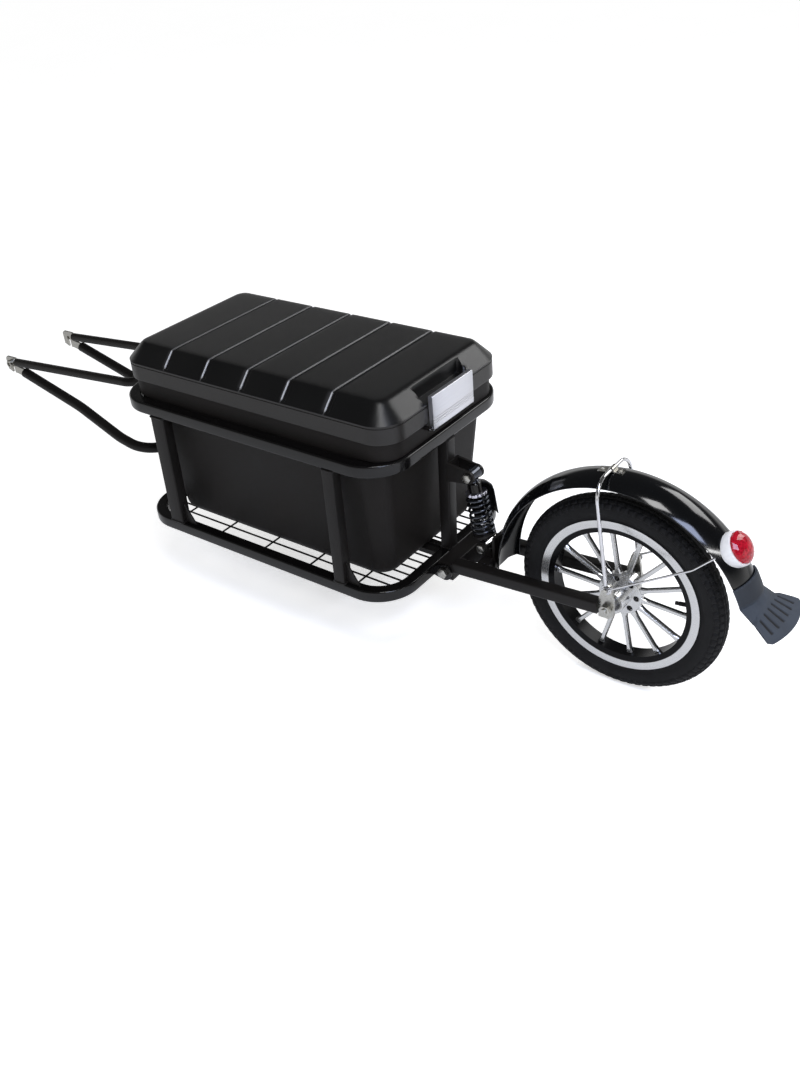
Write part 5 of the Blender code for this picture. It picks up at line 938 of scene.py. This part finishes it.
BLOCKS, POINTS_PER_BLOCK = 78, 9
TYRE_CIRCLE, CASING, TREAD, CASING_INSIDE = 0.1755, 0.0222, 0.0023, 0.0205
VALVE_ANGLE = math.radians(8)


def tyre():
    """The tyre's round section carried round the axle, with blocks raised on it.

    The height of a point over the casing is the tread's depth times a soft step along the
    section times a soft step round the wheel; the blocks of the outer row stand half a
    step on from those of the next.
    """
    around = (np.arange(BLOCKS * POINTS_PER_BLOCK) / POINTS_PER_BLOCK)[:, None]
    section = np.radians(np.linspace(-128, 128, 75))[None]
    across = np.abs(np.degrees(section))
    shoulder = softly(across, 27, 1.5) * softly(47 - across, 0, 1.5)
    edge = softly(across, 51, 1.5) * softly(74 - across, 0, 1.5)
    crown = softly(9 - across, 0, 1.2) + softly(across, 13, 1.2) * softly(23 - across, 0, 1.2)
    phase = np.abs((around % 1.0) - 0.5) * 2
    late = np.abs(((around + 0.5) % 1.0) - 0.5) * 2
    height = shoulder * softly(0.66 - phase, 0, 0.08) + edge * softly(0.70 - late, 0, 0.08)
    height = height + crown * (0.55 + 0.45 * softly(0.80 - phase, 0, 0.06))
    reach = CASING + TREAD * height
    outer = np.stack([TYRE_CIRCLE + reach * np.cos(section), reach * np.sin(section)], -1)
    inside = np.radians(np.linspace(124, -124, 24))[3:-3]
    inner = np.stack([TYRE_CIRCLE + CASING_INSIDE * np.cos(inside),
                      CASING_INSIDE * np.sin(inside)], -1)
    bead = np.array([(0.1512, 0.0154), (0.1500, 0.0150), (0.1500, 0.0120)])
    rest = np.vstack([bead, inner, (bead * (1, -1))[::-1]])
    profile = np.concatenate([outer, np.broadcast_to(rest, (len(around),) + rest.shape)], 1)
    turn = around * math.tau / BLOCKS
    out = np.concatenate([np.cos(turn), 0 * turn, np.sin(turn)], 1)
    points = (np.array(AXLE) + out[:, None] * profile[..., :1]
              + np.array([0, 1, 0]) * profile[..., 1:])
    return skin(points, True, True)


piece("tyre_moulded", [tyre()], tyre_rubber, "wheel", ["tyre"])
stem = turned([(0, 0.104), (0.0032, 0.104), (0.0036, 0.1045), (0.0036, 0.1095), (0.003, 0.110),
               (0.004, 0.1115), (0.004, 0.124), (0.006, 0.127), (0.006, 0.129), (0, 0.129)],
              AXLE, (math.cos(VALVE_ANGLE), 0, math.sin(VALVE_ANGLE)), 28, closed=False)
piece("valve_stem_moulded", [stem], tyre_rubber, "wheel", ["valve_stem"])

# The mudguard: a thin plastic blade round the tyre, rolled at its edges and lacquered in
# gloss black, held by a bent front stay over its crown and two thin rear stays.

# Mudguard lacquer: the eye gets a deep gloss black with slow waves of 15 mm in its
# reflections, as thin moulded plastic has.
fender_gloss, tree, shader, place = finish("gloss_black_mudguard", "#050608", 0.09, specular=0.60)
waves = node(tree, "TexNoise", "Fac", {"Vector": place, "Scale": 1 / 0.015, "Detail": 1.0})
vary(tree, shader, roughness=(waves, 0.07, 0.16), relief=(waves, 0.10, 0.0005))

BLADE_X, BLADE_Z, BLADE_REACH, BLADE_ROUND = 1.616, -0.174, 0.2575, 0.058
BLADE_FIRST, BLADE_LAST, BLADE_SPREAD, BLADE_THICK = 20.0, 182.0, 43.6, 0.002
EYE_Z, REAR_STAY_Y, FRONT_STAY_Y = -0.121, 0.0641, 0.0622


def on_blade(angle, across, raised=0.0):
    """Places over the mudguard: an angle round it, an angle over its crown, and a height."""
    angle, across = np.radians(angle), np.radians(across)
    crown = BLADE_ROUND + np.asarray(raised, float)
    reach = BLADE_REACH - BLADE_ROUND + crown * np.cos(across)
    return np.stack(np.broadcast_arrays(BLADE_X + reach * np.cos(angle), crown * np.sin(across),
                                        BLADE_Z + reach * np.sin(angle)), -1)


def blade(columns=36):
    """The blade's outer face and its inner face joined round both edges, carried round."""
    face = np.linspace(-BLADE_SPREAD, BLADE_SPREAD, columns)
    edge = BLADE_SPREAD + 0.35
    across = np.concatenate([face, [edge], face[::-1], [-edge]])
    raised = -BLADE_THICK * np.concatenate([np.zeros(columns), [0.5], np.ones(columns), [0.5]])
    angle = np.linspace(BLADE_FIRST, BLADE_LAST, 140)
    return skin(on_blade(angle[:, None], across[None], raised[None]), False, True, True)


rolls = [sweep(on_blade(np.linspace(BLADE_FIRST, BLADE_LAST, 140), side * 43.0, -0.0012),
               ring(0.0013, 10), (0, 1, 0)) for side_name, side in SIDES]
piece("fender_blade", [blade()] + rolls, fender_gloss, "arm", ["fender"])

stay_line = bent_line([(1.6108, -FRONT_STAY_Y, -0.1110), (1.5875, -FRONT_STAY_Y, 0.0857),
                       (1.5875, FRONT_STAY_Y, 0.0857), (1.6108, FRONT_STAY_Y, -0.1110)], 0.034, 16)
front_stay = [sweep(stay_line, ring(0.0035, 20), (0.1987, 0, 0.0245))]
for side_name, side in SIDES:
    front_stay.append(turned(sleeve(0.0033, 0.010, -0.002, 0.002, 0.0006),
                             (AXLE_X, side * 0.0603, EYE_Z), (0, 1, 0), 40))
piece("fender_front_stay_bent", front_stay, chrome, "arm", ["fender_front_stay"])
for side_name, side in SIDES:
    line = bent_line([(AXLE_X + 0.0062, side * REAR_STAY_Y, -0.1172), (1.762, side * 0.058, -0.029),
                      on_blade(43.9, side * 42.3, 0.0032)], 0.020, 10)
    eye = turned(sleeve(0.0033, 0.007, -0.0015, 0.0015, 0.0005),
                 (AXLE_X, side * REAR_STAY_Y, EYE_Z), (0, 1, 0), 32)
    name = "fender_rear_stay_" + side_name
    piece(name + "_bent", [sweep(line, ring(0.002, 14), (0, 1, 0)), eye], chrome, "arm",
          [name])
dress(zinc, "stay_bolt_near", "stay_bolt_far", "stay_clamp")

# The tail light: a white moulded housing on the mudguard's crown with a red lens whose
# face is cut in prisms, snapped together.

# Moulded white plastic: the eye gets a plain white with a soft shine and faint clouds.
white_plastic, tree, shader, place = finish("moulded_white_abs", "#ececec", 0.28)
cloud = node(tree, "TexNoise", "Fac", {"Vector": place, "Scale": 1 / 0.008, "Detail": 2.0})
vary(tree, shader, colour=(cloud, "#dfdfe1", "#f4f4f3"))

# Red lens plastic: the eye gets a deep crimson in cells of 4 mm, with sharp glints.
lens_red, tree, shader, place = finish("moulded_red_lens", "#a81024", 0.06)
cells = node(tree, "TexVoronoi", "Distance", {"Vector": place, "Scale": 1 / 0.004})
vary(tree, shader, colour=(cells, "#7a0716", "#c0172e"))

LIGHT_BASE, LIGHT_ANGLE = (1.8103, 0, -0.0051), math.radians(37)
LIGHT_OUT = (math.cos(LIGHT_ANGLE), 0, math.sin(LIGHT_ANGLE))
PRISMS = 16
housing = turned([(0, -0.014), (0.029, -0.014), (0.0306, -0.0132), (0.031, -0.012),
                  (0.031, 0.0085), (0.0302, 0.010), (0, 0.010)], LIGHT_BASE, LIGHT_OUT, 64,
                 closed=False)
piece("tail_light_housing_moulded", [housing], white_plastic, "arm",
      ["tail_light_housing"])


def prism_lens():
    """A dome of rings, two of which stand half a prism on from the others."""
    reach, along, late = np.array([(0, 0.0103, 0), (0.028, 0.0103, 0), (0.028, 0.0143, 0),
                                   (0.0225, 0.0195, 0.5), (0.0150, 0.0237, 0),
                                   (0.0072, 0.0263, 0.5), (0, 0.0273, 0)]).T
    angles = (np.arange(PRISMS)[:, None] + late) * math.tau / PRISMS
    return skin(placed(LIGHT_BASE, LIGHT_OUT, angles, reach, along), True)


piece("tail_light_lens_cut", [prism_lens()], lens_red, "arm", ["tail_light_lens"],
      crease=4)

# The mud flap: a tongue of slate rubber moulded with six lengthwise grooves, pushed over
# the mudguard's lower end on its own collar.

# Slate rubber: the eye gets a matt blue-grey with painted shade near black in the
# grooves, a darker collar, and a fine mould texture of 1 mm.
slate_rubber, tree, shader, place = finish("moulded_slate_rubber", "#3c4450", 0.66)
grain = node(tree, "TexNoise", "Fac", {"Vector": place, "Scale": 1 / 0.001, "Detail": 2.0})
cloud = node(tree, "TexNoise", "Fac", {"Vector": place, "Scale": 1 / 0.035, "Detail": 2.0})
slate = node(tree, "Mix", 2, {0: cloud, 6: linear("#262c35"), 7: linear("#3c4552")},
             data_type="RGBA")
# The attribute holds painted shade in the grooves and the darker collar.
groove_shade_dark_collar = node(tree, "Attribute", "Fac", attribute_name="groove_shade_dark_collar")
vary(tree, shader, colour=(groove_shade_dark_collar, slate, "#080a0e"), relief=(grain, 0.2, 0.0002))

FLAP_SLOPE, FLAP_OVER, FLAP_HALF, FLAP_GROOVE = math.radians(-27), 0.0024, 0.0015, 0.0017
BAND_ROWS, TONGUE_ROWS, BAND_RISE, LIP_RISE = 12, 44, 0.0009, 0.0006
GROOVE_LINES = np.array([-0.72, -0.43, -0.14, 0.14, 0.43, 0.72])
GROOVE_START, GROOVE_END = 0.0150, 0.0480


def flap():
    """Collar and tongue as one grid of cross sections, thickened to both sides.

    The collar follows the mudguard at a small height over it. Each section of the tongue
    lies at a reach along its slope, bowed back and dropped with the square of the share
    across, and the six grooves sink the upper face by a steep bell over their middle
    lines. The second result is how dark each point is: painted shade in the grooves, and
    a darker collar.
    """
    share = np.linspace(-1, 1, 121)[None]
    collar = on_blade(np.linspace(29.0, 20.5, BAND_ROWS)[:, None], share * 45.6, FLAP_OVER)
    knots = [0.006, 0.014, 0.030, 0.046, 0.060, 0.066]
    reach = np.linspace(0.006, 0.066, TONGUE_ROWS)
    half_width, drop, bow = (
        np.interp(reach, knots, values)[:, None]
        for values in ([0.048, 0.053, 0.060, 0.066, 0.069, 0.062],
                       [0.0130, 0.0100, 0.0085, 0.0075, 0.0070, 0.0065],
                       [0.0, 0.001, 0.004, 0.009, 0.016, 0.014]))
    along = reach[:, None] - bow * share ** 2
    fall = along * math.sin(FLAP_SLOPE) - drop * share ** 2
    tongue = on_blade(19.0, 0.0, FLAP_OVER) + np.stack(
        [along * math.cos(FLAP_SLOPE), half_width * share, fall], -1)
    middle = np.concatenate([collar, tongue])
    normal = unit(np.cross(np.gradient(middle, axis=0), np.gradient(middle, axis=1)))
    length = np.concatenate([np.zeros(BAND_ROWS), reach])[:, None]
    groove = np.exp(-((share[..., None] - GROOVE_LINES) / 0.045) ** 4).sum(-1)
    groove = groove * softly(length, GROOVE_START, 0.0008) * softly(GROOVE_END - length, 0, 0.0008)
    row, bare = np.arange(BAND_ROWS), np.zeros(TONGUE_ROWS)
    band = np.concatenate([np.interp(row, [0, 1, 10, 11], [0.3, 1, 1, 0]), bare])[:, None]
    shaded = np.concatenate([np.interp(row, [0, 9, 11], [0.55, 0.55, 0.0]), bare])[:, None]
    lip = LIP_RISE * softly(np.abs(share), 0.955, 0.01) * (length > 0)
    rise = FLAP_HALF + BAND_RISE * band + lip - FLAP_GROOVE * groove
    upper, lower = middle + normal * rise[..., None], middle - normal * FLAP_HALF
    skins = [skin(upper), skin(lower), skin([border(upper), border(lower)], False, True)]
    # Painted shade in the grooves, and the darker collar.
    dark = np.zeros(sum(len(points) for points, quads in skins))
    dark[:groove.size] = np.maximum(groove, shaded).ravel()
    return skins, dark


flap_skins, flap_groove_shade_dark_collar = flap()
piece("mud_flap_moulded", flap_skins, slate_rubber, "arm", ["mud_flap"], 40,
      [("groove_shade_dark_collar", flap_groove_shade_dark_collar)])

# The studio: a plain white floor and a white backdrop that ends in a dark ceiling, which
# only mirrored rays can tell, so that the black paint stays black between its highlights.

FLOOR_Z, FLOOR_HALF, FLOOR_GLOW = -0.364, 20, 0.50
SKY_LEVEL, CEILING_LEVEL, CEILING_START, CEILING_END = 0.50, 0.08, 0.10, 0.30

floor_finish, tree, shader, place = finish("matt_white_floor", "#ffffff", 0.9, specular=0.0)
speckle = node(tree, "TexNoise", "Fac", {"Vector": place, "Scale": 2.0, "Detail": 1.0})
vary(tree, shader, colour=(speckle, "#fcfcfc", "#ffffff"))
seen = node(tree, "LightPath", "Is Camera Ray")
glow = node(tree, "Math", "Value", {0: seen, 1: FLOOR_GLOW}, operation="MULTIPLY")
shader.inputs["Emission Color"].default_value = linear("#ffffff")
tree.links.new(glow, shader.inputs["Emission Strength"])
spread = np.linspace(-FLOOR_HALF, FLOOR_HALF, 3)
floor_points, floor_quads = skin(
    np.stack(np.broadcast_arrays(spread[:, None], spread[None], FLOOR_Z), -1))
floor_mesh = bpy.data.meshes.new("studio_floor")
floor_mesh.from_pydata(floor_points, [], floor_quads[:, ::-1].tolist())
floor_mesh.materials.append(floor_finish)
studio_floor = bpy.data.objects.new("studio_floor", floor_mesh)
bpy.context.scene.collection.objects.link(studio_floor)
studio_floor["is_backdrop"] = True

surround = bpy.data.worlds.new("studio_surround")
bpy.context.scene.world = surround
surround.use_nodes = True
tree = surround.node_tree
backdrop = tree.nodes["Background"]
backdrop.inputs["Color"].default_value = linear("#ffffff")
seen, glossy, passed = (node(tree, "LightPath", ray)
                        for ray in ("Is Camera Ray", "Is Glossy Ray", "Is Transmission Ray"))
level = node(tree, "MapRange", "Result", {"Value": seen, "To Min": SKY_LEVEL, "To Max": 1.0})
mirrored = node(tree, "Math", "Value", {0: glossy, 1: passed}, operation="MAXIMUM")
upward = node(tree, "SeparateXYZ", "Z", {0: node(tree, "TexCoord", "Generated")})
ceiling = node(tree, "MapRange", "Result",
               {"Value": upward, "From Min": CEILING_START, "From Max": CEILING_END,
                "To Min": 1.0, "To Max": CEILING_LEVEL})
level = node(tree, "Mix", 0, {0: mirrored, 2: level, 3: ceiling})
tree.links.new(level, backdrop.inputs["Strength"])


def stand(name, data, across, up, back, spot):
    """Puts a lamp or camera at a spot, along three directions square to each other."""
    made = bpy.data.objects.new(name, data)
    bpy.context.scene.collection.objects.link(made)
    turn = np.stack([across, up, back], 1)
    made.matrix_world = Matrix([[*row, x] for row, x in zip(turn.tolist(), spot)] + [[0, 0, 0, 1]])
    return made


# Each lamp is placed by the mirror direction of the surface that it lights: the mudguard's
# shoulder, the lid's near corner, its rear chamfer, and the box's rear corner.
for name, spot, target, width, height, power, colour in (
        ("near_rear_lamp", (2.92, -1.19, 1.79), (1.745, 0, 0.03), 0.9, 0.8, 23, "#cfdcff"),
        ("overhead_lamp", (1.85, -0.90, 2.15), (1.23, -0.16, 0.17), 0.7, 0.6, 12, "#ffffff"),
        ("far_rear_lamp", (2.20, 1.65, 1.40), (1.24, 0.0, 0.178), 1.3, 0.8, 16, "#ffffff"),
        ("low_rear_lamp", (3.95, -1.05, 1.5), (1.24, -0.17, 0.08), 2.0, 0.12, 16, "#ffffff")):
    lamp = bpy.data.lights.new(name, "AREA")
    lamp.shape = "RECTANGLE"
    lamp.size, lamp.size_y, lamp.energy = width, height, power
    lamp.color = linear(colour)[:3]
    back = unit(np.array(spot) - target)
    across = unit(np.cross((0, 0, 1), back))
    stand(name, lamp, across, np.cross(back, across), back, spot)

# The camera stands where the photograph was taken from: behind and on the near side,
# looking down at about 33 degrees, and rolled a little.

SENSOR_WIDTH, FOCAL_PIXELS, PHOTO_WIDTH = 36, 1070.74, 800
azimuth, elevation, roll = np.radians([39.43, 32.75, -5.48])
forward = np.array([-math.sin(azimuth) * math.cos(elevation),
                    math.cos(azimuth) * math.cos(elevation), -math.sin(elevation)])
level_right = np.array([math.cos(azimuth), math.sin(azimuth), 0])
above = np.cross(level_right, forward)
camera_data = bpy.data.cameras.new("camera")
camera_data.sensor_fit = "HORIZONTAL"
camera_data.sensor_width = SENSOR_WIDTH
camera_data.lens = SENSOR_WIDTH * FOCAL_PIXELS / PHOTO_WIDTH
camera = stand("camera", camera_data, math.cos(roll) * level_right + math.sin(roll) * above,
               math.cos(roll) * above - math.sin(roll) * level_right, -forward,
               (2.2958, -1.4426, 1.0023))
bpy.context.scene.camera = camera
bpy.context.scene.view_settings.view_transform = "Standard"

low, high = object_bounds()
